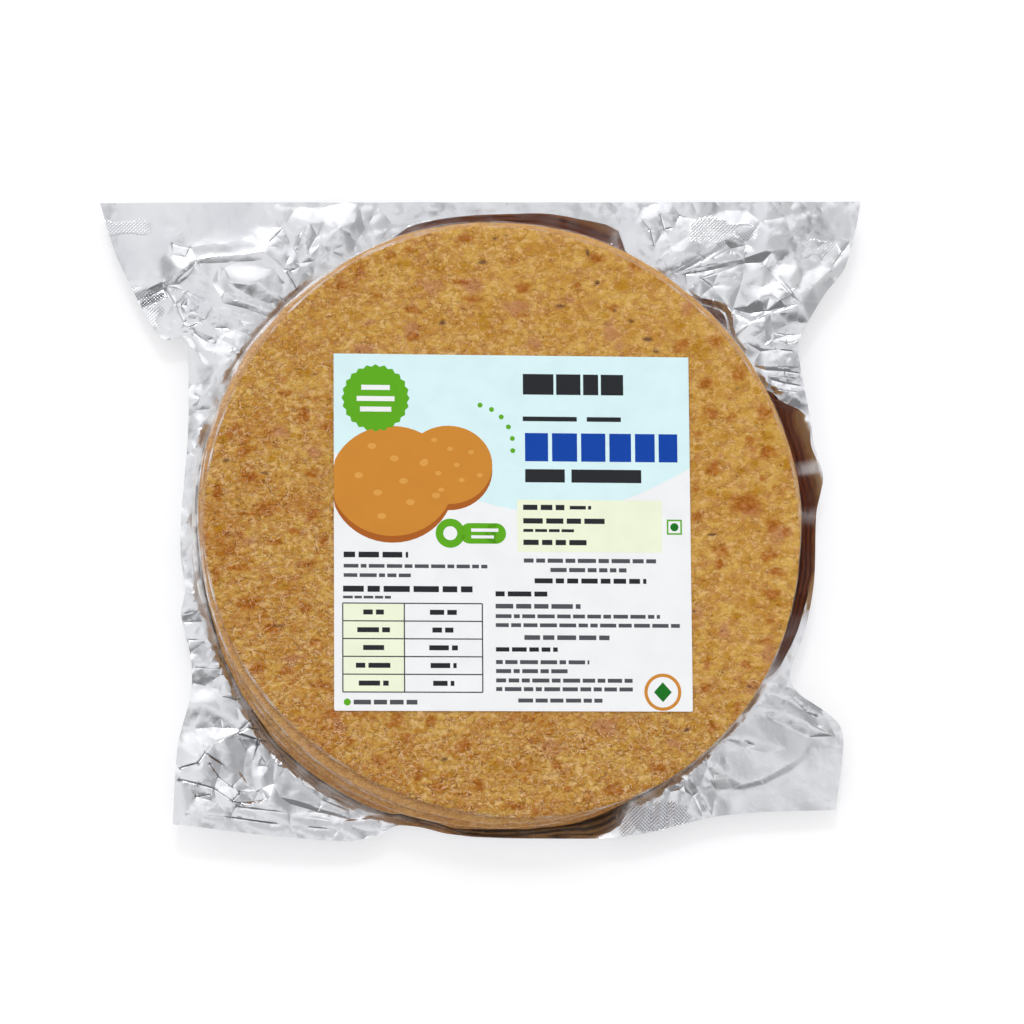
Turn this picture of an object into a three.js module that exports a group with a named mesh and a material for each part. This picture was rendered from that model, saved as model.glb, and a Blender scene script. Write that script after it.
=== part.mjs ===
// A vacuum-sealed pack of round thin flatbreads, lying on its back, in millimetres with +Z up.
// The opaque foil web lies underneath and turns up round the stack, then runs out as a creased skirt.
// The clear web is drawn tight over the stack, so the rims of the breads show through it as ribs.
// The origin is on the flat back, below the middle of the top bread.

import * as THREE from "three";

// The stack
const breadCount = 9;
const breadRadius = 90.6;
const breadPitch = 1.8; // one bread and the slit above it
const slitHeight = 0.5;
const slitDepth = 1.1;
const breadCornerRadius = 0.45;
const underEdgeInset = 0.2;
// How the top bread departs from a circle: waves round its rim, their height, and where a crest lies
const topBreadWaves = [
  { count: 2, height: 1.27, at: 141 },
  { count: 3, height: 0.7, at: 79.4 },
  { count: 4, height: 0.33, at: 23 },
];
const rimWobble = { coarse: 0.25, fine: 0.15, coarseWaves: 5, fineWaves: 11 };
const faceWave = 0.3; // on the ring of the top bread that the sticker leaves bare
// Where each bread has slid to under the top one, from the lowest up, and how much larger it is
const breadShifts = [
  { x: -1.4, y: -0.3, larger: 0.1 },
  { x: -0.9, y: -0.7, larger: 0.2 },
  { x: -1.1, y: -0.5, larger: 0.2 },
  { x: -1.2, y: -0.8, larger: 0.1 },
  { x: -1.4, y: -0.2, larger: 0.3 },
  { x: -1.1, y: -0.7, larger: 0.2 },
  { x: -1.5, y: 0.9, larger: 0.5 },
  { x: -0.9, y: 0.4, larger: 0.4 },
  { x: 0, y: 0, larger: -0.8 },
];

// The foil web
const foilThickness = 0.6;
const meetingGap = 0.3; // between pieces that lie on each other
const footClearance = 0.3; // from the widest bread that the foil reaches to its upturned wall
const wallBreads = 5; // the foil's wall rises past this many breads
const footBend = { inset: 0.4, lift: 0.05 }; // where the flat back turns up into the wall
const restInset = 4; // the flat back ends this far inside the foot
const wallShare = 0.9; // the wall takes at most this share of a narrow skirt

// How the foil rises round the stack: the run and height of its wall, and the height of its cut edge
const wallSectors = [
  { angle: 5, run: 6.0, wallTop: 7.4, edge: 8.0 },
  { angle: 12, run: 8.0, wallTop: 7.6, edge: 8.0 },
  { angle: 19, run: 8.2, wallTop: 7.4, edge: 7.8 },
  { angle: 27, run: 0.8, wallTop: 7.6, edge: 7.0 },
  { angle: 39, run: 0.8, wallTop: 7.4, edge: 8.6 },
  { angle: 44, run: 5.0, wallTop: 6.4, edge: 8.2 },
  { angle: 50, run: 0.8, wallTop: 7.4, edge: 7.8 },
  { angle: 64, run: 0.9, wallTop: 7.4, edge: 7.0 },
  { angle: 69, run: 8.0, wallTop: 7.0, edge: 7.2 },
  { angle: 78, run: 6.5, wallTop: 7.0, edge: 7.2 },
  { angle: 90, run: 4.6, wallTop: 7.0, edge: 7.4 },
  { angle: 106, run: 4.4, wallTop: 6.8, edge: 7.2 },
  { angle: 113, run: 1.2, wallTop: 7.4, edge: 7.1 },
  { angle: 128, run: 0.8, wallTop: 7.6, edge: 6.7 },
  { angle: 142, run: 0.7, wallTop: 7.4, edge: 5.0 },
  { angle: 156, run: 0.7, wallTop: 7.4, edge: 6.4 },
  { angle: 180, run: 0.6, wallTop: 7.4, edge: 7.0 },
  { angle: 208, run: 0.7, wallTop: 7.0, edge: 6.0 },
  { angle: 215, run: 1.4, wallTop: 6.4, edge: 7.2 },
  { angle: 224, run: 3.6, wallTop: 5.6, edge: 8.8 },
  { angle: 245, run: 3.4, wallTop: 5.6, edge: 7.0 },
  { angle: 251, run: 0.8, wallTop: 5.0, edge: 6.0 },
  { angle: 257, run: 0.6, wallTop: 4.6, edge: 5.0 },
  { angle: 266, run: 2.4, wallTop: 5.0, edge: 5.5 },
  { angle: 290, run: 6.5, wallTop: 6.4, edge: 7.0 },
  { angle: 294.5, run: 0.9, wallTop: 7.4, edge: 6.8 },
  { angle: 305, run: 0.8, wallTop: 7.4, edge: 6.4 },
  { angle: 321, run: 0.8, wallTop: 7.2, edge: 5.4 },
  { angle: 328, run: 0.9, wallTop: 6.8, edge: 6.5 },
  { angle: 333, run: 4.0, wallTop: 6.6, edge: 6.6 },
  { angle: 341, run: 5.0, wallTop: 6.8, edge: 7.2 },
];

// The cut edge of the pouch, anticlockwise from the middle of its right side
const pouchEdge = [
  [96.4, 5.4], [98.5, 15.3], [95.9, 25.4], [95, 32.5], [92.2, 48], [91.4, 56.4], [93, 60.4],
  [100.7, 73], [105.8, 79.3], [109.4, 90], [111.3, 99.6], [111.4, 101], [109.8, 101], [40, 99.9],
  [-45, 98.6], [-119.8, 97.6], [-121.4, 97.5], [-120.9, 96], [-116.8, 82.4], [-111.1, 70.2],
  [-104.4, 58.2], [-101.6, 55.4], [-95.4, 51.4], [-94.9, 49.8], [-94.7, 27.6], [-96.7, 0.9],
  [-96.7, -11.2], [-95.4, -20.3], [-96.6, -27.8], [-93.8, -39.8], [-93.5, -50.3], [-97.4, -66.7],
  [-98.8, -88.4], [-98.8, -90.4], [-97, -90.6], [-67, -94.1], [-45.5, -95.3], [-38.4, -93.8],
  [-32.7, -90.9], [-25, -91.2], [-17.5, -93], [-10.2, -93.9], [7.9, -94.5], [36.6, -94.2],
  [48.5, -91.8], [63.4, -88.2], [78.1, -86.7], [99.6, -86], [101, -85.8], [101.2, -84.4],
  [103.6, -64], [102.3, -60], [97.8, -56], [90.3, -51], [87.9, -48], [87.6, -44.2], [92.1, -32],
  [95.1, -17.6],
];
const edgeStep = 5;
const foldOnset = 0.2; // the share of the skirt over which its folds grow from the wall
const foldEnd = 0.12; // how full a fold already is at its two ends

// Ridges (positive) and valleys (negative) of the creased skirt, each from one point to another
const skirtFolds = [
  { from: [-100.5, 71], to: [-91.5, 79.5], halfWidth: 6, height: 1.6 },
  { from: [-91.5, 79.5], to: [-70, 81.5], halfWidth: 6, height: 2.4 },
  { from: [-70, 81.5], to: [-62, 70], halfWidth: 6, height: 1.8 },
  { from: [-93, 55.5], to: [-76, 51], halfWidth: 5, height: -1.8 },
  { from: [-99, 69], to: [-70, 62], halfWidth: 5, height: 1.3 },
  { from: [-60, 79], to: [-46, 90], halfWidth: 6, height: 1.4 },
  { from: [51, 76.5], to: [75, 81], halfWidth: 5, height: 1.8 },
  { from: [75, 81], to: [91, 88.5], halfWidth: 6, height: 1.4 },
  { from: [81, 79], to: [92, 69], halfWidth: 5, height: -1.8 },
  { from: [71, 59], to: [92, 67.5], halfWidth: 5, height: 2.4 },
  { from: [92, 69], to: [107, 86.5], halfWidth: 6, height: 1.4 },
  { from: [48, 77], to: [66, 86], halfWidth: 5, height: -1.4 },
  { from: [-90, -69], to: [-79.5, -63.5], halfWidth: 5, height: 1.8 },
  { from: [-79.5, -63.5], to: [-66, -66.5], halfWidth: 5, height: 1.6 },
  { from: [-79, -66], to: [-72, -83], halfWidth: 5, height: -1.8 },
  { from: [-66.5, -67], to: [-67, -81], halfWidth: 5, height: 1.8 },
  { from: [-60, -76], to: [-39, -87], halfWidth: 5, height: -1.6 },
  { from: [-64, -84], to: [-40, -89.5], halfWidth: 5, height: 1.5 },
  { from: [77, -54.5], to: [101, -62.5], halfWidth: 5, height: 2.4 },
  { from: [90, -52.5], to: [98, -61], halfWidth: 4, height: -1.4 },
  { from: [67, -65], to: [91, -66.5], halfWidth: 7, height: 1.0 },
  { from: [91, -68], to: [60, -80], halfWidth: 6, height: -1.0 },
  { from: [57, -77], to: [63.5, -87], halfWidth: 4, height: -1.4 },
];

// The sticker
const labelSize = 107.6;
const labelThickness = 0.3;
const labelPlace = { x: 2.3, y: -3.5 };

// Mesh fineness
const stackColumns = 72;
const faceRings = [
  { share: 0.3, wavy: 0 },
  { share: 0.6, wavy: 0 },
  { share: 0.85, wavy: 0 },
  { share: 0.95, wavy: 1 },
];
const wallSteps = [0.35, 0.7, 1];
const skirtSteps = [0.12, 0.26, 0.4, 0.54, 0.68, 0.82, 0.93, 1];

const stackFloor = foilThickness + meetingGap;
const stackTop = stackFloor + breadCount * breadPitch - slitHeight;
const degree = Math.PI / 180;

// The radius, from the origin's axis, of one bread's rim in a direction
function breadRim(index, angle) {
  const shift = breadShifts[index];
  const { coarse, fine, coarseWaves, fineWaves } = rimWobble;
  let wobble = coarse * Math.sin(coarseWaves * angle + 2 * index) + fine * Math.sin(fineWaves * angle + index);
  if (index === breadCount - 1) {
    const waves = topBreadWaves.map(({ count, height, at }) => height * Math.cos(count * (angle - at * degree)));
    wobble = waves.reduce((sum, wave) => sum + wave);
  }
  const slid = shift.x * Math.cos(angle) + shift.y * Math.sin(angle);
  return breadRadius + shift.larger + wobble + slid;
}

function stackFoot(angle) {
  const rims = breadShifts.slice(0, wallBreads).map((_, index) => breadRim(index, angle));
  return Math.max(...rims) + footClearance;
}

function smoothStep(t) {
  const s = Math.min(Math.max(t, 0), 1);
  return s * s * (3 - 2 * s);
}

// A value of wallSectors in any direction, eased from each sector to the next round the pack
function sectorValue(name, angle) {
  const degrees = ((angle / degree) % 360 + 360) % 360;
  const next = wallSectors.findIndex((sector) => sector.angle > degrees);
  const after = next < 0 ? wallSectors[0] : wallSectors[next];
  const before = next < 1 ? wallSectors[wallSectors.length - 1] : wallSectors[next - 1];
  const span = (after.angle - before.angle + 360) % 360;
  const along = (degrees - before.angle + 360) % 360;
  return before[name] + (after[name] - before[name]) * smoothStep(along / span);
}

// Height that the creases add at a point: a tent across each one, fading at its two ends
function creaseHeight(x, y) {
  let height = 0;
  for (const fold of skirtFolds) {
    const run = new THREE.Vector2(fold.to[0] - fold.from[0], fold.to[1] - fold.from[1]);
    const reach = new THREE.Vector2(x - fold.from[0], y - fold.from[1]);
    const along = Math.min(Math.max(reach.dot(run) / run.lengthSq(), 0), 1);
    const away = reach.addScaledVector(run, -along).length();
    const taper = Math.sqrt(Math.sin(Math.PI * (foldEnd + (1 - 2 * foldEnd) * along)));
    height += fold.height * taper * Math.max(0, 1 - away / fold.halfWidth);
  }
  return height;
}

// A closed body from rings of equal length between two end points, all seen anticlockwise from above
// From turnRing on, the quads split the other way, so that an upper and an under face match
function skinBody(firstPole, rings, lastPole, turnRing = rings.length) {
  const count = rings[0].length;
  const positions = [firstPole, ...rings.flat(), lastPole].flat();
  const last = rings.length * count + 1;
  const at = (ring, column) => 1 + ring * count + (column % count);
  const faces = [];
  for (let column = 0; column < count; column++) {
    faces.push(0, at(0, column), at(0, column + 1));
    for (let ring = 0; ring < rings.length - 1; ring++) {
      const [a, b] = [at(ring, column), at(ring + 1, column)];
      const [aNext, bNext] = [at(ring, column + 1), at(ring + 1, column + 1)];
      if (ring < turnRing) faces.push(a, b, bNext, a, bNext, aNext);
      else faces.push(a, b, aNext, aNext, b, bNext);
    }
    faces.push(last, at(rings.length - 1, column + 1), at(rings.length - 1, column));
  }
  const geometry = new THREE.BufferGeometry();
  geometry.setAttribute("position", new THREE.Float32BufferAttribute(positions, 3));
  geometry.setIndex(faces);
  geometry.computeVertexNormals();
  return geometry;
}

function ringAt(columns, radiusOf, heightOf) {
  return columns.map((angle) => {
    const radius = radiusOf(angle);
    const x = radius * Math.cos(angle);
    const y = radius * Math.sin(angle);
    return [x, y, heightOf(angle, x, y)];
  });
}

function evenColumns(count) {
  return Array.from({ length: count }, (_, column) => (column * 2 * Math.PI) / count);
}

// The clear web with what it holds: a drum whose side shows the rim of each bread
function clearFront() {
  const columns = evenColumns(stackColumns);
  const top = breadCount - 1;
  const wave = (angle) => faceWave * Math.sin(3 * angle + 1) * Math.sin(2 * angle);
  const rings = faceRings.map(({ share, wavy }) =>
    ringAt(columns, (angle) => breadRim(top, angle) * share, (angle) => stackTop + wavy * wave(angle)));
  for (let index = top; index >= 0; index--) {
    const floor = stackFloor + index * breadPitch;
    const crown = floor + breadPitch - slitHeight;
    const lift = (angle) => (index === top ? wave(angle) : 0);
    const inset = index === top ? breadCornerRadius : slitDepth;
    const rimLess = (less) => (angle) => breadRim(index, angle) - less;
    rings.push(ringAt(columns, rimLess(inset), (angle) => crown + lift(angle)));
    rings.push(ringAt(columns, rimLess(0), () => crown - breadCornerRadius));
    rings.push(ringAt(columns, rimLess(underEdgeInset), () => floor + breadCornerRadius / 2));
  }
  rings.push(ringAt(columns, (angle) => breadRim(0, angle) - slitDepth, () => stackFloor));
  return skinBody([0, 0, stackTop], rings, [0, 0, stackFloor]);
}

// The directions in which the cut edge's own points and the steps between them lie
function edgeColumns(curve) {
  const count = pouchEdge.length;
  const columns = [];
  pouchEdge.forEach((point, index) => {
    const next = pouchEdge[(index + 1) % count];
    const length = Math.hypot(next[0] - point[0], next[1] - point[1]);
    const steps = Math.max(1, Math.round(length / edgeStep));
    for (let step = 0; step < steps; step++) {
      const place = curve.getPoint((index + step / steps) / count);
      columns.push({ angle: Math.atan2(place.y, place.x), edgeRadius: Math.hypot(place.x, place.y) });
    }
  });
  return columns;
}

// The foil web: flat under the stack, turned up round it, and creased out to its cut edge
function foilBack() {
  const corners = pouchEdge.map(([x, y]) => new THREE.Vector3(x, y, 0));
  const curve = new THREE.CatmullRomCurve3(corners, true, "centripetal");
  const columns = edgeColumns(curve).map(({ angle, edgeRadius }) => {
    const foot = stackFoot(angle);
    const run = Math.min(sectorValue("run", angle), wallShare * (edgeRadius - foot));
    const wallTop = sectorValue("wallTop", angle);
    const edge = sectorValue("edge", angle);
    return { angle, edgeRadius, foot, run, wallTop, edge };
  });

  const pointAt = (column, radius, height) => {
    const [x, y] = [radius * Math.cos(column.angle), radius * Math.sin(column.angle)];
    return [x, y, height(x, y)];
  };
  const ring = (radiusOf, heightOf) =>
    columns.map((column) => pointAt(column, radiusOf(column), (x, y) => heightOf(column, x, y)));

  // One face of the foil, from its middle out to the cut edge
  function faceRingsAt(lift) {
    const made = [
      ring((column) => column.foot - restInset, () => lift),
      ring((column) => column.foot - footBend.inset, () => lift + footBend.lift),
    ];
    for (const share of wallSteps) {
      const radius = (column) => column.foot + column.run * share;
      const height = (column) => lift + column.wallTop * share;
      made.push(ring(radius, height));
    }
    for (const share of skirtSteps) {
      const wallRadius = (column) => column.foot + column.run;
      const radius = (column) => wallRadius(column) + (column.edgeRadius - wallRadius(column)) * share;
      const height = (column, x, y) => {
        const rise = column.wallTop + (column.edge - column.wallTop) * smoothStep(share);
        return lift + rise + creaseHeight(x, y) * smoothStep(share / foldOnset);
      };
      made.push(ring(radius, height));
    }
    return made;
  }

  const upper = faceRingsAt(foilThickness);
  const under = faceRingsAt(0).reverse();
  return skinBody([0, 0, foilThickness], [...upper, ...under], [0, 0, 0], upper.length - 1);
}

function label() {
  const geometry = new THREE.BoxGeometry(labelSize, labelSize, labelThickness);
  geometry.translate(labelPlace.x, labelPlace.y, stackTop + meetingGap + labelThickness / 2);
  return geometry;
}

const foilFinish = new THREE.MeshStandardMaterial({ color: 0xdfe0e6, roughness: 0.22, metalness: 0.95 });
const breadFinish = new THREE.MeshStandardMaterial({ color: 0xb9864a, roughness: 0.45, metalness: 0 });
const labelFinish = new THREE.MeshStandardMaterial({ color: 0xdef7fa, roughness: 0.5, metalness: 0 });

function named(name, geometry, material) {
  const mesh = new THREE.Mesh(geometry, material);
  mesh.name = name;
  return mesh;
}

const pack = new THREE.Group();
pack.add(named("foil_back", foilBack(), foilFinish));
pack.add(named("clear_front", clearFront(), breadFinish));
pack.add(named("label", label(), labelFinish));

export default pack;
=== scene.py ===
import math
import random

import bpy
import numpy as np
from mathutils import Matrix, Vector
from mathutils.geometry import delaunay_2d_cdt
from mathutils.kdtree import KDTree


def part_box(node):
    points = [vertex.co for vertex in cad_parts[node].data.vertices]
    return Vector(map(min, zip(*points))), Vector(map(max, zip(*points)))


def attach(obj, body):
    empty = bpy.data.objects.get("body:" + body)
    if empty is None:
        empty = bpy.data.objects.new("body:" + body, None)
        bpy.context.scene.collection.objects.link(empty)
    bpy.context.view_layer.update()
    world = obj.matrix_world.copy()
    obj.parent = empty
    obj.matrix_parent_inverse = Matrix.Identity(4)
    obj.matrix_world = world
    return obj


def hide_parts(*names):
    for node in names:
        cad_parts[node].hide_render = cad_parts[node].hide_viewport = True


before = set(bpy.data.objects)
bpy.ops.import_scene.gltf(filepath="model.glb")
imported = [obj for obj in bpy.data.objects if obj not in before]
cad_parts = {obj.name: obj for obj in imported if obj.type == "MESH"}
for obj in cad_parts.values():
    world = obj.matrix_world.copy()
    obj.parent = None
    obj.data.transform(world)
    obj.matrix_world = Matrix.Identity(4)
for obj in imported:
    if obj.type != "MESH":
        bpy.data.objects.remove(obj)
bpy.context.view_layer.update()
mm = 0.001  # the tables below are in millimetres
print("frame loaded")

# Patterns of numbers

def smoothStep(t):
    s = np.clip(t, 0, 1)
    return s * s * (3 - 2 * s)


def hashed(i, j, seed):
    value = np.sin(i * 127.1 + j * 311.7 + seed * 74.7) * 43758.5453
    return value - np.floor(value)


def facets(x, y, cell, seed):
    # flat triangles between random heights on a triangular lattice, from -1 to 1
    u, v = x / cell, y / cell
    skew = (u + v) * 0.3660254  # turns the squares into pairs of triangles
    su, sv = u + skew, v + skew
    i, j = np.floor(su), np.floor(sv)
    fu, fv = su - i, sv - j
    low, high = np.minimum(fu, fv), np.maximum(fu, fv)
    right = fu > fv
    near = hashed(i, j, seed)
    side = np.where(right, hashed(i + 1, j, seed), hashed(i, j + 1, seed))
    far = hashed(i + 1, j + 1, seed)
    return 2 * ((1 - high) * near + (high - low) * side + low * far) - 1


def softNoise(x, y, cell, seed):
    # a smooth lattice noise from -1 to 1
    u, v = x / cell, y / cell
    i, j = np.floor(u), np.floor(v)
    fu, fv = smoothStep(u - i), smoothStep(v - j)
    lower = hashed(i, j, seed) * (1 - fu) + hashed(i + 1, j, seed) * fu
    upper = hashed(i, j + 1, seed) * (1 - fu) + hashed(i + 1, j + 1, seed) * fu
    return 2 * (lower * (1 - fv) + upper * fv) - 1


def srgb(red, green, blue):
    # a colour as read on screen, from 0 to 255, made linear
    return tuple(((c / 255 + 0.055) / 1.055) ** 2.4 if c > 10 else c / 255 / 12.92
                 for c in (red, green, blue)) + (1,)


# What the CAD pieces say about the pack

stack = {
    "breads": 9, "pitch": 1.8, "slit": 0.5, "corner": 0.45,
    # a bread's rim, its "waist" down from the crown as a share of the pitch, stays "under" the foil's wall, and
    # where the crown stands "clear" of the wall's top it may reach "over" it
    "waist": 0.6, "clear": 1.2, "over": 0.5, "under": 0.35,
    # the lower breads spread towards the lower left and draw in at the left: bread, direction, half width, distance
    "fans": [(5, 234, 40, 1.0), (4, 230, 44, 1.9), (3, 232, 42, 2.5), (2, 233, 40, 3.7), (1, 234, 40, 1.5),
             (0, 234, 36, 0.4), (3, 286, 16, 1.2), (2, 284, 20, 1.6), (7, 176, 30, -0.5),
             *((n, 178, 36, -0.9) for n in range(1, 7))],
}
foilSheet = {"rings": 13, "wallRing": 4}  # rings of the solid from foot to edge, and the one at the top of the wall


def cadPoints(node):
    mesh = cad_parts[node].data
    flat = np.empty(len(mesh.vertices) * 3)
    mesh.vertices.foreach_get("co", flat)
    return np.unique(np.round(flat.reshape(-1, 3) / mm, 3), axis=0)


def directionOf(x, y):
    # from 0 to a full turn
    return np.arctan2(y, x) % (2 * math.pi)


def roundTheAxis(points):
    # points sorted by direction, one group for each column of the CAD mesh
    points = points[np.hypot(points[:, 0], points[:, 1]) > 1]
    angles = directionOf(points[:, 0], points[:, 1])
    order = np.argsort(angles)
    points, angles = points[order], angles[order]
    breaks = np.nonzero(np.diff(angles) > 4e-4)[0] + 1  # columns stand further apart than this
    return np.split(points, breaks), np.array([part.mean() for part in np.split(angles, breaks)])


def foilColumns():
    groups, angles = roundTheAxis(cadPoints("foil_back"))
    radii, heights = [], []
    for group in groups:
        far = np.hypot(group[:, 0], group[:, 1])
        order = np.argsort(far)
        pairs = group[order].reshape(foilSheet["rings"], 2, 3)
        radii.append(far[order].reshape(foilSheet["rings"], 2).mean(axis=1))
        heights.append(pairs[:, :, 2].min(axis=1))
    return angles, np.array(radii), np.array(heights)


def roundInterp(at, angles, values):
    return np.interp(at, np.concatenate([angles - 2 * math.pi, angles, angles + 2 * math.pi]),
                     np.tile(values, 3))


columnAngles, columnRadii, columnHeights = foilColumns()
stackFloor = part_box("clear_front")[0][2] / mm
stackTop = stackFloor + stack["breads"] * stack["pitch"] - stack["slit"]

# The foil: the rings of its wall and edge

foil = {
    "columns": 4, "wallSteps": 8,  # mesh columns for each column of the solid, and rings up the wall
    "fine": 1.15, "backFine": 3.0, "smooth": 15,  # spacing of the mesh points, and the angle that stays sharp
    "web": 0.16, "lift": 0.02, "footOut": 3.2, "inside": 0.45,
    "hug": 0.45, "bend": 0.6, "ripple": (0.1, 3.4),  # the wall's fit to the breads, its curve and its ripples
    "wallOut": [(20.5, 7, 2.3), (26, 3, 1.4), (9, 7, 1.4)],  # a wider wall: direction, half width, millimetres
    "open": 6.6, "openHeight": 0.34, "clear": 3.2,  # seeded folds between the drawn ones
    "onset": 2.6, "crisp": 0.4, "spread": 1.3,  # how soon folds rise, how much stays sharp, the blur of the rest
    "pillow": 0.32, "round": 1.6,  # how the fields between the folds swell
    "waves": [(0.2, 15), (0.08, 6.5)], "dents": [(0.07, 3.3), (0.035, 1.7)], "shiver": (0.02, 3.3),
    "crease": 0.17, "beside": 0.4,  # sharp thin creases along the drawn folds: depth and half width
    "creased": [(0, 0.4), (30, 0.6), (60, 0.6), (90, 0.3), (130, 0.7), (160, 0.5), (200, 0.8), (225, 1.1),
                (255, 0.8), (290, 0.2), (330, 0.2)],  # how strong they are: direction, share
    "hush": (90, -72, 30, 0.4),  # the drawn folds are lower round this place
    "bright": srgb(223, 224, 226), "dull": srgb(214, 215, 219),
    # two painted shades: in the grooves of the cross-hatch, and along the creases
    "hatchShade": srgb(60, 62, 68), "creaseShade": srgb(62, 66, 76),
    "knurl": 2.9, "notch": {"from": -103.0, "to": -95.8, "y": 51.0, "reach": 11, "rise": 4.4},
}


def foilRings():
    # the CAD sheet's foot, wall top and edge on finer columns
    fine = foil["columns"]
    count = len(columnAngles)
    at = np.arange(count * fine) / fine
    base = np.floor(at).astype(int)
    t = at - base

    def eased(values):
        p = [values[(base + k) % count] for k in (-1, 0, 1, 2)]
        return 0.5 * (2 * p[1] + (p[2] - p[0]) * t + (2 * p[0] - 5 * p[1] + 4 * p[2] - p[3]) * t ** 2
                      + (3 * p[1] - p[0] - 3 * p[2] + p[3]) * t ** 3)

    def straight(values):
        return values[base] * (1 - t) + values[(base + 1) % count] * t

    edgeX = eased(columnRadii[:, -1] * np.cos(columnAngles))
    edgeY = eased(columnRadii[:, -1] * np.sin(columnAngles))
    level = sum(np.roll(columnHeights[:, -1], k) for k in range(-4, 5)) / 9
    angle = directionOf(edgeX, edgeY)
    order = np.argsort(angle)
    wall = foilSheet["wallRing"]
    rings = {"angle": angle, "edge": np.hypot(edgeX, edgeY), "edgeHeight": straight(level),
             "foot": straight(columnRadii[:, 0]) + foil["footOut"],
             "wallRadius": straight(columnRadii[:, wall]), "wallHeight": straight(columnHeights[:, wall])}
    for direction, width, far in foil["wallOut"]:
        rings["wallRadius"] += far * (1 - smoothStep(np.abs(np.degrees(rings["angle"]) - direction) / width))
    rings["wallRadius"] = np.minimum(rings["wallRadius"], rings["edge"] - foil["inside"])
    hug = foil["hug"] * (1 - smoothStep((rings["wallRadius"] - rings["foot"] - 1) / 1.5))
    rings["foot"] = rings["foot"] - hug * 0.4
    rings["wallRadius"] = rings["wallRadius"] - hug
    return {key: values[order] for key, values in rings.items()}


rings = foilRings()


def ringAt(angle, key):
    return roundInterp(angle, rings["angle"], rings[key])


def wallPower(foot, wall):
    # a narrow wall bends, a wide one runs straight
    return foil["bend"] + (1 - foil["bend"]) * smoothStep((wall - foot - 4.5) / 3)


# The breads: their rims

def crownHeight(index):
    return stackFloor + (index + 1) * stack["pitch"] - stack["slit"]


def rimOfBread(index):
    # the widest ring of one bread in the CAD stack, as angles and radii
    points = cadPoints("clear_front")
    level = crownHeight(index) - stack["corner"]
    ring = points[np.abs(points[:, 2] - level) < 0.02]
    angles = directionOf(ring[:, 0], ring[:, 1])
    order = np.argsort(angles)
    return angles[order], np.hypot(ring[:, 0], ring[:, 1])[order]


breadRims = [rimOfBread(index) for index in range(stack["breads"])]


def rimAt(index, turn):
    rim = roundInterp(turn, *breadRims[index])
    for which, direction, width, far in stack["fans"]:
        if which == index:
            away = np.abs((np.degrees(turn) - direction + 180) % 360 - 180) / width
            rim = rim + far * (1 - smoothStep(away))
    # kept inside the foil's wall
    foot, wall, high = (ringAt(turn, key) for key in ("foot", "wallRadius", "wallHeight"))
    crown = crownHeight(index)
    share = np.clip((crown - stack["pitch"] * stack["waist"]) / high, 0, 1) ** (1 / wallPower(foot, wall))
    spare = stack["over"] if crown - stack["clear"] > high.max() else -stack["under"]
    return np.minimum(rim, foot + (wall - foot) * share + spare)


print("CAD rims:", [len(angles) for angles, _ in breadRims], "columns:", len(columnAngles))

# Blender helpers

def deselectAll():
    bpy.ops.object.select_all(action="DESELECT")


def pick(*pieces):
    deselectAll()
    for piece in pieces:
        piece.select_set(True)
    bpy.context.view_layer.objects.active = pieces[0]


def newPiece(name, points, edges, faces):
    mesh = bpy.data.meshes.new(name)
    mesh.from_pydata(points, edges, faces)
    piece = bpy.data.objects.new(name, mesh)
    bpy.context.collection.objects.link(piece)
    return piece


def joinPieces(pieces, name):
    pick(*pieces)
    bpy.ops.object.join()
    pieces[0].name = pieces[0].data.name = name
    return pieces[0]


def polarSheet(name, columns, rings):
    # a grid wrapped into rings round the middle: column along X, ring along Y
    deselectAll()
    bpy.ops.mesh.primitive_grid_add(x_subdivisions=columns, y_subdivisions=rings - 1, size=1)
    piece = bpy.context.object
    piece.name = piece.data.name = name
    return piece


def placePoints(piece, points):
    piece.data.vertices.foreach_set("co", (points * mm).ravel())
    piece.data.update()


def paint(piece, name, values):
    piece.data.attributes.new(name, "FLOAT", "POINT").data.foreach_set("value", values)


def closeSeams(piece, gap=1e-6):
    pick(piece)
    bpy.ops.object.mode_set(mode="EDIT")
    bpy.ops.mesh.select_all(action="SELECT")
    bpy.ops.mesh.remove_doubles(threshold=gap)
    bpy.ops.mesh.normals_make_consistent(inside=False)
    bpy.ops.object.mode_set(mode="OBJECT")


def applyModifier(piece, kind, **settings):
    modifier = piece.modifiers.new(kind.title(), kind)
    for key, value in settings.items():
        setattr(modifier, key, value)
    pick(piece)
    bpy.ops.object.modifier_apply(modifier=modifier.name)


def finishPiece(piece, material=None, angle=None):
    if material:
        piece.data.materials.append(material)
    pick(piece)
    if angle is None:
        bpy.ops.object.shade_smooth()
    else:
        bpy.ops.object.shade_smooth_by_angle(angle=math.radians(angle))
    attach(piece, "root")
    print(piece.name, len(piece.data.polygons), "faces")


# Materials

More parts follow.
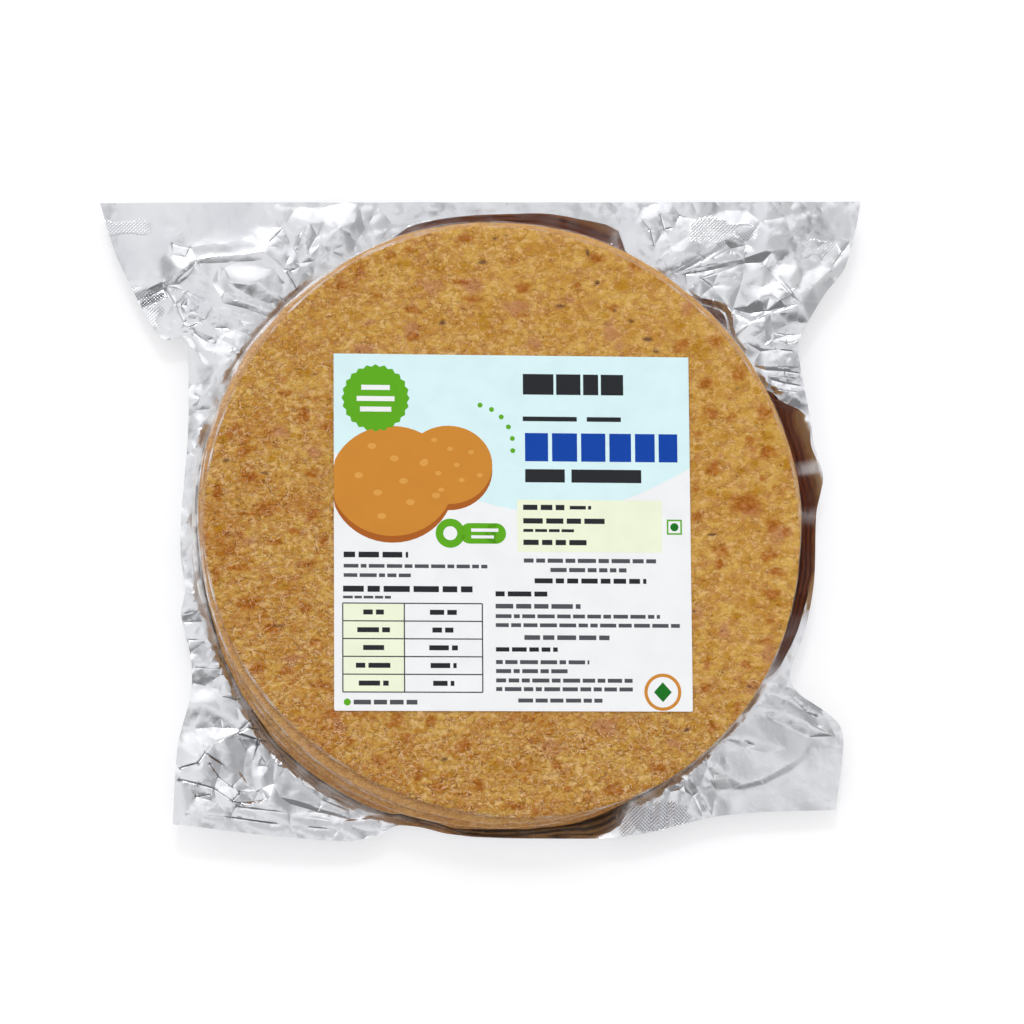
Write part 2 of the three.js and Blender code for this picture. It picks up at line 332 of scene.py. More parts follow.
class Wire:
    # a value or colour in a node tree that can stand in a sum
    def __init__(self, finish, socket):
        self.finish, self.socket = finish, socket

    def combined(self, operation, *others):
        return self.finish.node("ShaderNodeMath", {"operation": operation}, dict(enumerate([self, *others])))

    def __add__(self, other):
        return self.combined("ADD", other)

    def __sub__(self, other):
        return self.combined("SUBTRACT", other)

    def __rsub__(self, other):
        return self.finish.node("ShaderNodeMath", {"operation": "SUBTRACT"}, {0: other, 1: self})

    def __neg__(self):
        return 0 - self

    def __mul__(self, other):
        return self.combined("MULTIPLY", other)

    def __pow__(self, other):
        return self.combined("POWER", other)

    __radd__, __rmul__ = __add__, __mul__

    def least(self, other):
        return self.combined("MINIMUM", other)

    def most(self, other):
        return self.combined("MAXIMUM", other)

    def absolute(self):
        return self.combined("ABSOLUTE")

    def sine(self):
        return self.combined("SINE")

    def between(self, low, high):
        # 0 below low, 1 above high, eased
        return self.finish.node("ShaderNodeMapRange", {"interpolation_type": "SMOOTHSTEP"},
                                {"Value": self, "From Min": low, "From Max": high})


class Nodes:
    # one tree, the shader at its end, and the nodes that feed it
    def __init__(self, tree, shader, coordinates):
        self.tree = tree
        self.shader = tree.nodes[shader]
        self.place = self.node("ShaderNodeTexCoord", output=coordinates)

    def node(self, kind, settings=None, inputs=None, output=0):
        made = self.tree.nodes.new(kind)
        for key, value in (settings or {}).items():
            setattr(made, key, value)
        for key, value in (inputs or {}).items():
            if isinstance(value, Wire):
                self.tree.links.new(value.socket, made.inputs[key])
            else:
                made.inputs[key].default_value = value
        return Wire(self, made.outputs[output])

    def feed(self, socket, wire):
        self.tree.links.new(wire.socket, self.shader.inputs[socket])

    def mix(self, mask, first, second):
        return self.node("ShaderNodeMix", {"data_type": "RGBA"}, {0: mask, 6: first, 7: second}, 2)

    def vectorMath(self, operation, first, second, output=0):
        return self.node("ShaderNodeVectorMath", {"operation": operation}, {0: first, 1: second}, output)


class Finish(Nodes):
    # one material
    def __init__(self, name, roughness=0.5, **sockets):
        self.material = bpy.data.materials.new(name)
        self.material.use_nodes = True
        super().__init__(self.material.node_tree, "Principled BSDF", "Object")
        self.shader.inputs["Roughness"].default_value = roughness
        for socket, value in sockets.items():
            self.shader.inputs[socket.replace("_", " ")].default_value = value

    def axes(self):
        # the three coordinates in millimetres
        return [self.node("ShaderNodeSeparateXYZ", None, {0: self.place}, n) * 1000 for n in range(3)]

    def moved(self, *shift):
        # the place a little aside, so that a second noise differs from the first
        return self.vectorMath("ADD", self.place, [0.1 * s for s in shift])

    def noiseAt(self, size, detail=2, roughness=0.5, warp=0, place=None):
        # noise with features of about this size in millimetres
        return self.node("ShaderNodeTexNoise", None, {
            "Vector": place or self.place, "Scale": 1 / (size * mm), "Detail": detail,
            "Roughness": roughness, "Distortion": warp})

    def cellsAt(self, size, feature="F1", output="Distance", place=None):
        return self.node("ShaderNodeTexVoronoi", {"feature": feature}, {
            "Vector": place or self.place, "Scale": 1 / (size * mm)}, output)

    def painted(self, name):
        # an attribute of the mesh's points
        return self.node("ShaderNodeAttribute", {"attribute_name": name}, output="Fac")

    def channel(self, colour, n):
        return self.node("ShaderNodeSeparateColor", None, {0: colour}, n)

    def bump(self, height, distance, strength, after=None):
        inputs = {"Height": height, "Distance": distance * mm, "Strength": strength}
        if after:
            inputs["Normal"] = after
        return self.node("ShaderNodeBump", None, inputs)


# Camera and light

view = {
    "target": (2.0, 2.6, 17.2),
    "distance": 1300,
    "tilt": 10,  # degrees from straight down, towards the pack's lower left
    "towards": (-0.625, -0.78),
    "roll": 0.42,
    "pixel": 0.3,  # millimetres of the pack to one pixel
    "pixels": 1024,
    "sensor": 36,
}


def makeCamera():
    tilt = math.radians(view["tilt"])
    side = Vector((*view["towards"], 0)).normalized()
    back = Vector((side.x * math.sin(tilt), side.y * math.sin(tilt), math.cos(tilt)))
    up = (Vector((0, 1, 0)) - back.y * back).normalized()
    right = up.cross(back)
    roll = math.radians(view["roll"])
    up = up * math.cos(roll) + right * math.sin(roll)
    right = up.cross(back)
    lens = bpy.data.cameras.new("camera")
    lens.sensor_width = view["sensor"]
    lens.lens = view["sensor"] * view["distance"] / (view["pixel"] * view["pixels"])
    camera = bpy.data.objects.new("camera", lens)
    turn = Matrix((right, up, back)).transposed()
    camera.matrix_world = Matrix.Translation(
        (Vector(view["target"]) + back * view["distance"]) * mm) @ turn.to_4x4()
    bpy.context.collection.objects.link(camera)
    bpy.context.scene.camera = camera


# Soft boxes as patches of a dome: direction and height in degrees, sharp and faded reach, brightness
studio = {
    "boxes": [(275, 50, 10, 36, 0.26), (20, 52, 8, 28, 0.5), (150, 42, 6, 18, 0.5), (330, 35, 8, 16, 1.2),
              (205, 48, 10, 24, 1.4), (93, 48, 12, 27, 1.3), (60, 28, 10, 18, 1.5), (130, 26, 10, 18, 2.4),
              (98, 46, 2.5, 5, 24), (48.4, 73, 5, 12, 0.76)],
    "horizon": 0.85, "bands": [(0, 0.35, 0.72), (0.82, 0.975, 1.04)],  # up the dome: from, to, brightness there
    "blue": 1.012,  # how much bluer the light is than white
    "floorColour": (0.76, 0.76, 0.765), "floorGlow": 0.36, "floorSize": 6,
}


def makeStudio():
    world = bpy.data.worlds.new("studio")
    bpy.context.scene.world = world
    world.use_nodes = True
    sky = Nodes(world.node_tree, "Background", "Generated")
    up = sky.node("ShaderNodeSeparateXYZ", None, {0: sky.place}, 2)
    level = before = studio["horizon"]
    for low, high, bright in studio["bands"]:
        level = up.between(low, high) * (bright - before) + level
        before = bright
    for azimuth, height, sharp, faded, bright in studio["boxes"]:
        a, h = math.radians(azimuth), math.radians(height)
        towards = (math.cos(h) * math.cos(a), math.cos(h) * math.sin(a), math.sin(h))
        near = sky.vectorMath("DOT_PRODUCT", sky.place, towards, 1)
        mask = near.between(math.cos(math.radians(faded)), math.cos(math.radians(sharp)))
        level = level + (bright - level) * mask
    sky.feed("Color", sky.node("ShaderNodeCombineColor", None, {0: level, 1: level, 2: level * studio["blue"]}))
    deselectAll()
    bpy.ops.mesh.primitive_plane_add(size=studio["floorSize"])
    floor = bpy.context.object
    floor.name = "floor"
    paper = Finish("floor paper", roughness=0.9, Specular_IOR_Level=0.1, Emission_Strength=studio["floorGlow"])
    paper.shader.inputs["Emission Color"].default_value = (1, 1, 1, 1)
    cloud = paper.noiseAt(400, 2).between(0.2, 0.8)
    tone = studio["floorColour"]
    paper.feed("Base Color", paper.mix(cloud, (*tone, 1), (*(c * 0.995 for c in tone), 1)))
    floor.data.materials.append(paper.material)
    settings = bpy.context.scene.view_settings
    settings.view_transform = "Standard"
    settings.look = "None"


makeCamera()
makeStudio()
print("camera and studio made")

# The sticker

sticker = {
    "thickness": 0.12, "above": 0.14, "corner": 0.5, "printLift": 0.02, "smooth": 40,
    "word": (1.6, 5.2), "space": 0.62,  # length of the dashes and the space between them
    "paper": srgb(252, 253, 253), "sky": srgb(226, 253, 255), "green": srgb(98, 178, 28),
    "deepGreen": srgb(24, 118, 30), "cream": srgb(249, 255, 226), "blue": srgb(10, 70, 172),
    "ink": srgb(40, 42, 46), "softInk": srgb(84, 86, 92), "line": srgb(60, 62, 66),
    "toast": srgb(214, 142, 52), "toastDark": srgb(178, 98, 34), "toastLight": srgb(228, 164, 78),
}


def labelFrame():
    low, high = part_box("label")
    return low[0] / mm, high[1] / mm, (high[0] - low[0]) / mm


def stickerFinish(name, colour):
    finish = Finish(name, roughness=0.42, Specular_IOR_Level=0.14)
    mottle = finish.noiseAt(9, 3).between(0.3, 0.75)
    darker = tuple(c * 0.955 for c in colour[:3]) + (1,)
    finish.feed("Base Color", finish.mix(mottle, colour, darker))
    finish.feed("Roughness", finish.noiseAt(3, 2) * 0.14 + 0.34)
    fibre = finish.noiseAt(0.25, 2)
    finish.feed("Normal", finish.bump(fibre, 0.01, 0.25))
    return finish.material


def makeLabel():
    left, top, side = labelFrame()
    deselectAll()
    bpy.ops.mesh.primitive_cube_add(size=1)
    sheet = bpy.context.object
    sheet.name = sheet.data.name = "label_sheet"
    bottom = stackTop + sticker["above"]
    thick = sticker["thickness"]
    sheet.scale = (side * mm, side * mm, thick * mm)
    sheet.location = ((left + side / 2) * mm, (top - side / 2) * mm, (bottom + thick / 2) * mm)
    bpy.ops.object.transform_apply(location=True, rotation=True, scale=True)
    bpy.ops.object.mode_set(mode="EDIT")
    bpy.ops.mesh.select_mode(type="EDGE")
    bpy.ops.mesh.select_all(action="DESELECT")
    bpy.ops.object.mode_set(mode="OBJECT")
    for edge in sheet.data.edges:
        a, b = (sheet.data.vertices[n].co for n in edge.vertices)
        edge.select = abs(a.z - b.z) > thick * mm * 0.5
    bpy.ops.object.mode_set(mode="EDIT")
    bpy.ops.mesh.bevel(offset=sticker["corner"] * mm, segments=4)
    bpy.ops.object.mode_set(mode="OBJECT")
    sheet.data.materials.append(stickerFinish("sticker paper", sticker["paper"]))
    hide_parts("label")
    finishPiece(sheet, angle=sticker["smooth"])
    return left, top, side, bottom + thick


class Print:
    # flat fields of one colour on the sticker, placed from its top left corner
    def __init__(self, name, colour, layer):
        self.name, self.colour, self.layer = name, colour, layer
        self.outlines = []

    def bar(self, x0, y0, x1, y1):
        self.outlines.append([(x0, y0), (x0, y1), (x1, y1), (x1, y0)])

    def oval(self, x, y, wide, tall, steps=48, wave=0, waves=0):
        points = []
        for n in range(steps):
            a = math.radians(360 * n / steps)
            swell = 1 + wave * math.cos(waves * a)
            points.append((x + wide * swell * math.cos(a), y + tall * swell * math.sin(a)))
        self.outlines.append([(max(0, px), py) for px, py in points[::-1]])

    def outline(self, points):
        self.outlines.append(points)

    def words(self, x0, y, x1, height, draws):
        # a line of text as plain dashes
        at = x0
        while at < x1 - 0.5:
            long = min(draws.uniform(*sticker["word"]) * height / 1.1, x1 - at)
            self.bar(at, y - height / 2, at + long, y + height / 2)
            at += long + sticker["space"] * height


def printedFields(side):
    draws = random.Random(41)
    layers = {"sky": 1, "toastDark": 2, "toast": 3, "toastLight": 4, "green": 5, "cream": 6, "softInk": 7,
              "line": 7, "ink": 7, "blue": 7, "paper": 8, "deepGreen": 9}
    fields = {name: Print(name, sticker[name], layer) for name, layer in layers.items()}
    # the pale blue head of the sticker, with a swept lower edge
    sweep = [(side * t / 40, 30 + 15.5 * math.sin(math.pi * (t / 40) ** 1.3) + 4 * t / 40) for t in range(41)]
    fields["sky"].outline([(side, 0), (0, 0)] + sweep)
    # two plain round flatbreads
    for x, y, size in ((17.5, 38.5, 18.5), (34.5, 33.5, 13.2)):
        fields["toastDark"].oval(x, y + 1.5, size, size * 0.93)
        fields["toast"].oval(x, y, size, size * 0.9)
        for n in range(9):
            a = n * 2.4
            far = size * 0.78 * math.sqrt((n + 0.5) / 9)
            fields["toastLight"].oval(x + far * math.cos(a), y + far * 0.9 * math.sin(a),
                                      size * 0.07, size * 0.05, 16)
    # a scalloped seal, a ring with a pill and a leaf, a framed dot and an arc of dots
    fields["green"].oval(12.6, 13.4, 9.9, 9.9, 96, wave=0.035, waves=24)
    for x, size in ((34.9, 4.4), (40.8, 3.1), (48.6, 3.1)):
        fields["green"].oval(x, 54.2, size, size)
    fields["green"].bar(40.8, 51.1, 48.6, 57.3)
    fields["green"].bar(100.4, 49.6, 105, 54.2)
    fields["paper"].bar(100.9, 50.1, 104.5, 53.7)
    fields["deepGreen"].oval(102.7, 51.9, 1.25, 1.25, 24)
    for n, (wide, y) in enumerate(((8.6, 10.2), (11.4, 13.6), (9.4, 16.8))):
        fields["paper"].bar(12.6 - wide / 2, y - 0.75, 12.6 + wide / 2, y + 0.75)
    fields["paper"].oval(34.9, 54.2, 2.1, 2.1, 32)
    fields["green"].outline([(34.0, 54.9), (35.5, 55.4), (35.8, 53.0)])
    fields["paper"].bar(41.2, 52.7, 49.4, 53.7)
    fields["paper"].bar(41.2, 54.8, 48.0, 55.7)
    for n in range(6):
        a = math.radians(-78 + 17 * n)
        cx, cy = 38.5 + 12.5 * math.cos(a), 27.5 + 12.5 * math.sin(a)
        fields["green"].oval(cx + 3, cy, 0.75, 0.75, 16)
    # head bars
    for name, y0, y1, spans in (
            ("ink", 5.6, 11.9, ((57.1, 66.4), (67.2, 74.6), (75.4, 80.0), (80.8, 87.6))),
            ("ink", 18.6, 20.0, ((57.0, 73.4), (76.4, 86.8))),
            ("blue", 23.6, 32.2, ((57.6, 64.6), (65.8, 73.4), (74.6, 82), (83.2, 89.8), (91, 97), (98.2, 103.9))),
            ("ink", 34.6, 38.6, ((57.6, 69.6), (71.6, 92.8)))):
        for x0, x1 in spans:
            fields[name].bar(x0, y0, x1, y1)

    def lines(*rows):
        # each row: field, from, to, how far down, height
        for name, x0, x1, y, height in rows:
            fields[name].words(x0, y, x1, height, draws)

    # the pale box with its lines, the left column and the table below it
    fields["cream"].bar(55.1, 43.9, 98.9, 59.7)
    lines(("ink", 56.9, 69.4, 46.2, 1.6), ("ink", 71, 77.5, 46.2, 1.1), ("ink", 56.9, 81.6, 50.3, 1.6),
          ("ink", 56.9, 73, 53.2, 0.9), ("ink", 56.9, 76, 56.8, 1.6), ("ink", 2.9, 22.2, 60.8, 1.7),
          ("softInk", 2.9, 46, 64.2, 1.1), ("softInk", 2.9, 23, 67.0, 1.1), ("ink", 2.7, 41.8, 71.1, 1.8),
          ("softInk", 2.7, 17, 73.6, 0.8))
    table = {"left": 2.6, "right": 44.4, "split": 21.0, "top": 75.4, "row": 5.32, "rows": 5, "rule": 0.36}
    bottom = table["top"] + table["row"] * table["rows"]
    fields["cream"].bar(table["left"], table["top"], table["split"], bottom)
    for n in range(table["rows"] + 1):
        y = table["top"] + n * table["row"]
        fields["line"].bar(table["left"], y - table["rule"] / 2, table["right"], y + table["rule"] / 2)
    for x in (table["left"], table["split"], table["right"]):
        fields["line"].bar(x - table["rule"] / 2, table["top"], x + table["rule"] / 2, bottom)
    for n in range(table["rows"]):
        y = table["top"] + (n + 0.5) * table["row"]
        for middle, least, most in ((11.8, 6, 13), (32.7, 5.5, 9)):
            wide = draws.uniform(least, most)
            fields["ink"].words(middle - wide / 2, y, middle + wide / 2, 1.5, draws)
    fields["green"].oval(3.9, 105, 1.05, 1.05, 24)
    # the last line of the left column and the right column
    lines(("softInk", 5.8, 24.8, 105, 1.4), ("softInk", 57, 97, 62.3, 1.25), ("softInk", 65, 88, 65.1, 1.25),
          ("ink", 60.2, 94, 68.4, 1.5), ("ink", 48.4, 64, 72.4, 1.5), ("softInk", 48.4, 74, 76.1, 1.4),
          ("softInk", 48.4, 98, 79.1, 1.15), ("softInk", 48.4, 104, 81.8, 1.15), ("softInk", 57, 84, 85.5, 1.4),
          ("ink", 48.4, 67, 89.1, 1.3), ("softInk", 48.4, 76.5, 92.9, 1.2), ("softInk", 48.4, 70, 95.6, 1.2),
          ("softInk", 48.4, 89.5, 98.4, 1.2), ("softInk", 48.4, 90.4, 101, 1.2), ("softInk", 55, 81, 104.4, 1.2))
    # a plain bordered seal in the lower right corner
    fields["toast"].oval(98.6, 101.8, 5.6, 5.6)
    fields["paper"].oval(98.6, 101.8, 4.6, 4.6)
    fields["deepGreen"].outline([(98.6, 98.8), (95.9, 101.8), (98.6, 104.8), (101.3, 101.8)])
    return fields


def makePrint(left, top, side, surface):
    # every field is a thin flat shape just above the paper
    parts = []
    for field in printedFields(side).values():
        points, faces = [], []
        for n, outline in enumerate(field.outlines):
            start = len(points)
            z = surface + sticker["printLift"] * (field.layer + 0.9 * n / len(field.outlines)) / 10
            points += [((left + x) * mm, (top - y) * mm, z * mm) for x, y in outline]
            faces.append(list(range(start, start + len(outline))))
        parts.append(newPiece(field.name, points, [], faces))
        parts[-1].data.materials.append(stickerFinish("print " + field.name, field.colour))
    printed = joinPieces(parts, "label_print")
    bpy.ops.object.mode_set(mode="EDIT")
    bpy.ops.mesh.select_all(action="SELECT")
    bpy.ops.mesh.quads_convert_to_tris()
    bpy.ops.object.mode_set(mode="OBJECT")
    finishPiece(printed, angle=sticker["smooth"])


labelLeft, labelTop, labelSide, labelSurface = makeLabel()
makePrint(labelLeft, labelTop, labelSide, labelSurface)
print("sticker made")

# The breads

bread = {
    "columns": 900, "lowerColumns": 420, "thickness": 1.45,
    "edge": 0.975, "side": [62, 35, 8, -20, -50],  # where the face rounds off, and the slopes of the rim
    "lowerFace": [0, 0.4, 0.75, 0.88, 0.93, 0.96, 0.98], "under": [0.985, 0.96, 0.9, 0.6, 0],  # hidden rings
    "swell": [(0.14, 26), (0.1, 11)], "grain": [(0.07, 1.5), (0.05, 0.8)],  # height and size
    "blisters": 420, "blisterReach": 91, "blisterSize": (0.9, 2.6), "blisterRise": (0.06, 0.2),
    "uneven": [(0.1, 2.3), (0.12, 6.5)], "tilt": 0.14,  # how the rims wander in and out, and up and down
    # some of these colours stand for light: the wrinkle brown also serves as painted shade, the rim tone is partly
    # painted light, the dark red brown for the lower breads is painted shade, and the glint colour is for painted
    # highlights
    "golden": srgb(221, 177, 91), "tan": srgb(198, 143, 58), "toast": srgb(171, 83, 2),
    "pink": srgb(190, 126, 92), "fleck": srgb(92, 58, 48), "pale": srgb(236, 194, 130),
    "olive": srgb(184, 128, 4), "wrinkleAndShade": srgb(125, 70, 4), "rim": srgb(218, 166, 104),
    "lowShade": srgb(150, 62, 24), "glint": srgb(234, 190, 146),
    # sizes of the crumbs, of fine, middle and wide changes of tone, of blisters, bran specks, glints and wrinkles
    "crumb": 1.9, "fine": 1.7, "middle": 4.6, "wide": 16, "blister": 5.2, "bran": 3.4, "sparkle": 2.6,
    "long": 3.6, "short": 2.2, "bump": (1.9, 0.9),
}
# Marks on the top bread: middle, and how far each reaches along X and Y
marks = {
    "toast": [
        # right
        (62, 33.3, 2.7, 2.4), (68.5, 32.2, 1.8, 1.9), (79.3, 33.6, 3, 2.6), (58.7, 27.4, 1.7, 1.2),
        (74.5, 25.4, 1.6, 1.5), (79.6, 21.6, 2.8, 2.2), (75.4, 22.8, 1.6, 1.2), (63.6, 16.2, 2.3, 2.5),
        (57.8, 10.3, 1, 1.6), (78.2, 13.4, 1.1, 1), (82.1, 10.7, 1.2, 1), (72.8, 5.6, 6.2, 3.7), (58.3, 2, 2.6, 2),
        (80.9, -0.4, 2.8, 2.2), (85.7, -3.1, 2.4, 2), (65.8, -8.5, 3.2, 2.6), (64.8, -13, 1.6, 2),
        (80.3, -9.7, 3.6, 2.4), (80.6, -21.4, 3.2, 2.2), (83, -15.4, 2.8, 1.6), (71.6, 45.8, 3, 2.6),
        (61.7, 42.2, 2.8, 2), (54.2, 54.2, 3, 2.2), (64.4, 55.4, 3, 1.8), (33.5, 65.3, 1.8, 1.2),
        # top
        (-11.8, 86.2, 3, 1.6), (-28.9, 82.7, 1.6, 1.6), (-34.6, 80.3, 2.6, 1.4), (-43.6, 75.8, 1.6, 3),
        (-49, 71.3, 2, 1.8), (-10, 67.5, 3.6, 1), (-12.6, 72.6, 2.6, 1), (5.9, 71.4, 3.2, 1.8),
        (28.4, 80.6, 3.4, 1.6), (-27.4, 63.8, 2.8, 1.6), (-27.1, 55.7, 2.4, 2), (5, 62.6, 4.2, 0.9),
        (40.4, 78.4, 2.6, 1.6), (22, 72, 1.6, 1), (-39, 68, 2, 1.2),
        # left
        (-61, 31, 2.4, 3), (-78.7, 20.3, 2.8, 2.2), (-57.7, 13.7, 2.6, 1.8), (-76.6, 12.6, 3.4, 1.6),
        (-71.5, 3.6, 5, 2.8), (-77, 1.6, 3.4, 0.9), (-57.7, 1.4, 2.2, 2), (-63.1, -3.4, 3, 1),
        (-79.6, -4.9, 1.2, 1.4), (-68.8, -6.7, 2.4, 1.4), (-54.4, -6.7, 2.6, 2.6), (-83.2, -9.7, 3, 2.4),
        (-80, -14.6, 4, 1.1), (-60, -13.4, 3.4, 0.9), (-66, 38, 3, 1.4), (-54, 28, 1.6, 1.2), (-86, 8, 1.6, 3),
        (-87, -17, 1.4, 3),
        # lower left
        (-74.2, -44.8, 2.6, 2.4), (-65.2, -45.4, 2.6, 1.8), (-55.6, -49.9, 4, 1.4), (-33.1, -59.8, 2.6, 2.4),
        (-29.2, -65.4, 2.8, 2.2), (-77, -25, 4.4, 2), (-22.6, -60.4, 2.6, 1.8), (-60, -27, 3, 1.6),
        (-70, -33, 3.4, 1.4), (-57, -37, 2, 1.6), (-47, -66, 2.2, 1.8), (-38, -72, 2.4, 2), (-52, -58, 2, 1.2),
        (-26, -76, 2, 2.4),
        # foot and lower right
        (15.2, -73.3, 1.8, 1.4), (2.9, -85.6, 4.2, 1.6), (-21, -80, 2.6, 1.8), (44.9, -73.9, 3.4, 1.8),
        (32, -80.4, 3.4, 1.6), (60.4, -43, 1.6, 2), (72.5, -43, 1.8, 1.6), (59.9, -50.2, 2.2, 1.6),
        (62.3, -62.2, 2, 2.2), (78.8, -35.8, 2.6, 2), (-8, -80, 2, 2.4), (8, -66, 1.6, 1.6), (-12, -67, 1.6, 2),
        (70, -56, 1.4, 2.4), (80, -30, 1.6, 1.4)],
    "pink": [
        (32, 58.2, 3, 4.4), (35, 53.5, 2.6, 2.2), (56, 66.5, 2.2, 2.6), (8.9, 54.2, 3, 2.4), (-22, 71, 4, 2.8),
        (-9.5, 71.5, 4.2, 3.2), (4.1, 65.6, 6, 2.6), (-67.3, 26.3, 3, 2.6), (-57, 20, 2, 2), (-77, -6.4, 3, 1.6),
        (-28, 58, 3, 3), (-42, 52, 4.4, 2), (66, -33, 2, 3), (74.2, 4, 3.4, 1.8), (65.6, 20.3, 1.2, 1.2),
        (83, -3, 2.4, 4), (80, -40, 2.4, 4), (75, -50, 3, 3), (30, -62, 5, 3), (-64, -42, 3, 2), (14, -68, 4, 3),
        (-50, -62, 3, 2.4), (20, 68, 2.4, 1.4), (-40, 60, 2.6, 1.6), (58, -28, 2, 3), (50, -66, 3, 2.4)],
    "amber": [
        (53, 60.8, 2.8, 2), (59.9, 52.7, 3, 3.4), (-12, 77.3, 3.2, 2), (-30, 78, 3, 1.4), (-5.8, 61.1, 2.4, 3.2),
        (19.4, 60.8, 2, 1.4), (48, 73, 3, 2), (74.6, -23.8, 1.8, 1.2), (70, -28.4, 2.2, 1.2),
        (82.4, -24.6, 3, 1.8), (67.4, -56.2, 2, 1.8), (-70.3, 18.5, 1.5, 1.6), (-84, 24, 2, 1.6),
        (-79, 34, 3, 1.4), (-85, -3, 2, 2), (-83.6, -10, 3, 2), (62.3, 9.5, 1.7, 1.2), (76.1, 9.2, 2.4, 1.2),
        (71.6, 16.1, 1.8, 1.5), (76.1, 17.9, 1.4, 1), (58.4, 23, 2, 1.2), (80.5, 22.6, 2, 1.6),
        (68.3, 26, 2.2, 1.4), (72.6, -12, 1.6, 1), (-45, 62, 3, 1.6), (-20, 77, 3, 1.2), (-80, 42, 3, 2),
        (-66, -20, 2.4, 1.6), (-38, -80, 2.6, 2), (-16, -76, 2, 2), (80, 26, 2.4, 3), (86, 18, 1.6, 2),
        (-60, 44, 3, 2), (36, 72, 3, 2), (-4, -74, 2.4, 2.4), (56, -62, 2, 2), (76, -44, 2, 1.6),
        (76.4, 11, 1, 1)],
    "fleck": [
        (62.8, -3.6, 1.9, 0.45), (43.7, 55.7, 2, 0.7), (46.4, 52.1, 1.3, 0.6), (-18.7, 60.2, 1.2, 0.8),
        (17.6, 65.6, 1.6, 0.6), (-2.5, 86.3, 0.9, 0.5), (-6.4, 78.8, 1.5, 0.8), (-84, 17.6, 1.2, 0.9),
        (-18.7, -71.8, 1.3, 0.6), (53.9, -62.8, 1.1, 0.8), (39, 61.4, 1.2, 0.5), (25.8, 82, 0.6, 1.4),
        (28.6, 73, 1.0, 0.7), (73.6, -49.6, 1.0, 0.6), (-68, -32, 2.4, 0.4), (34, 64.4, 0.8, 0.5),
        (-72, 14, 1.4, 0.5), (57, -27, 0.5, 0.5), (71, 41, 0.8, 0.4), (-57, 44, 0.7, 0.4)],
}


def markAt(kind, x, y):
    # 0 to 1: how strongly the marks of one kind show, with ragged edges
    ragged = 0.85 * softNoise(x, y, 2.6, 91) + 0.5 * softNoise(x, y, 1.3, 92)
    uneven = 0.7 * softNoise(x, y, 3.1, 93) + 0.5 * softNoise(x, y, 1.4, 94)
    found = np.zeros_like(x)
    for cx, cy, wide, tall in marks[kind]:
        near = (np.abs(x - cx) < wide + 3) & (np.abs(y - cy) < tall + 3)
        small = min(wide, tall, 2) / 2
        u, v = x[near] - cx + ragged[near] * small, y[near] - cy + uneven[near] * small
        away = np.hypot(u / wide, v / tall)
        found[near] = np.maximum(found[near], 1 - smoothStep((away - 0.45) / 0.7))
    return found


def underLabel(x, y):
    # 0 below the sticker, 1 clear of it
    reachX = np.abs(x - labelLeft - labelSide / 2) - labelSide / 2
    reachY = np.abs(y - labelTop + labelSide / 2) - labelSide / 2
    return smoothStep((np.maximum(reachX, reachY) - 0.2) / 3.0)


def faceRelief(x, y):
    # the swell and blisters of the top bread, which the film follows
    (high, cell), (low, fine) = bread["swell"]
    swell = high * softNoise(x, y, cell, 3) + low * softNoise(x + 40, y, fine, 4)
    draws = random.Random(7)
    blister = np.zeros_like(x)
    for _ in range(bread["blisters"]):
        far, angle = bread["blisterReach"] * math.sqrt(draws.random()), draws.uniform(0, 2 * math.pi)
        bx, by = far * math.cos(angle), far * math.sin(angle)
        size, high = draws.uniform(*bread["blisterSize"]), draws.uniform(*bread["blisterRise"])
        high *= 1.5 if bx + 1.6 * by < -20 else 0.8  # bubblier towards the lower left
        near = np.abs(x - bx) + np.abs(y - by) < size * 3
        away = np.hypot(x[near] - bx, y[near] - by) / size
        blister[near] += high * np.exp(-away ** 2 * 2)
    return (swell + blister) * underLabel(x, y)


def grain(x, y):
    # fine folds of the rolled dough
    (fold, foldCell), (grit, gritCell) = bread["grain"]
    ridged = 1 - np.abs(softNoise(x + 0.8 * softNoise(x, y, 3, 12), y, foldCell, 11)) * 2
    return fold * ridged + grit * softNoise(x, y, gritCell, 13)


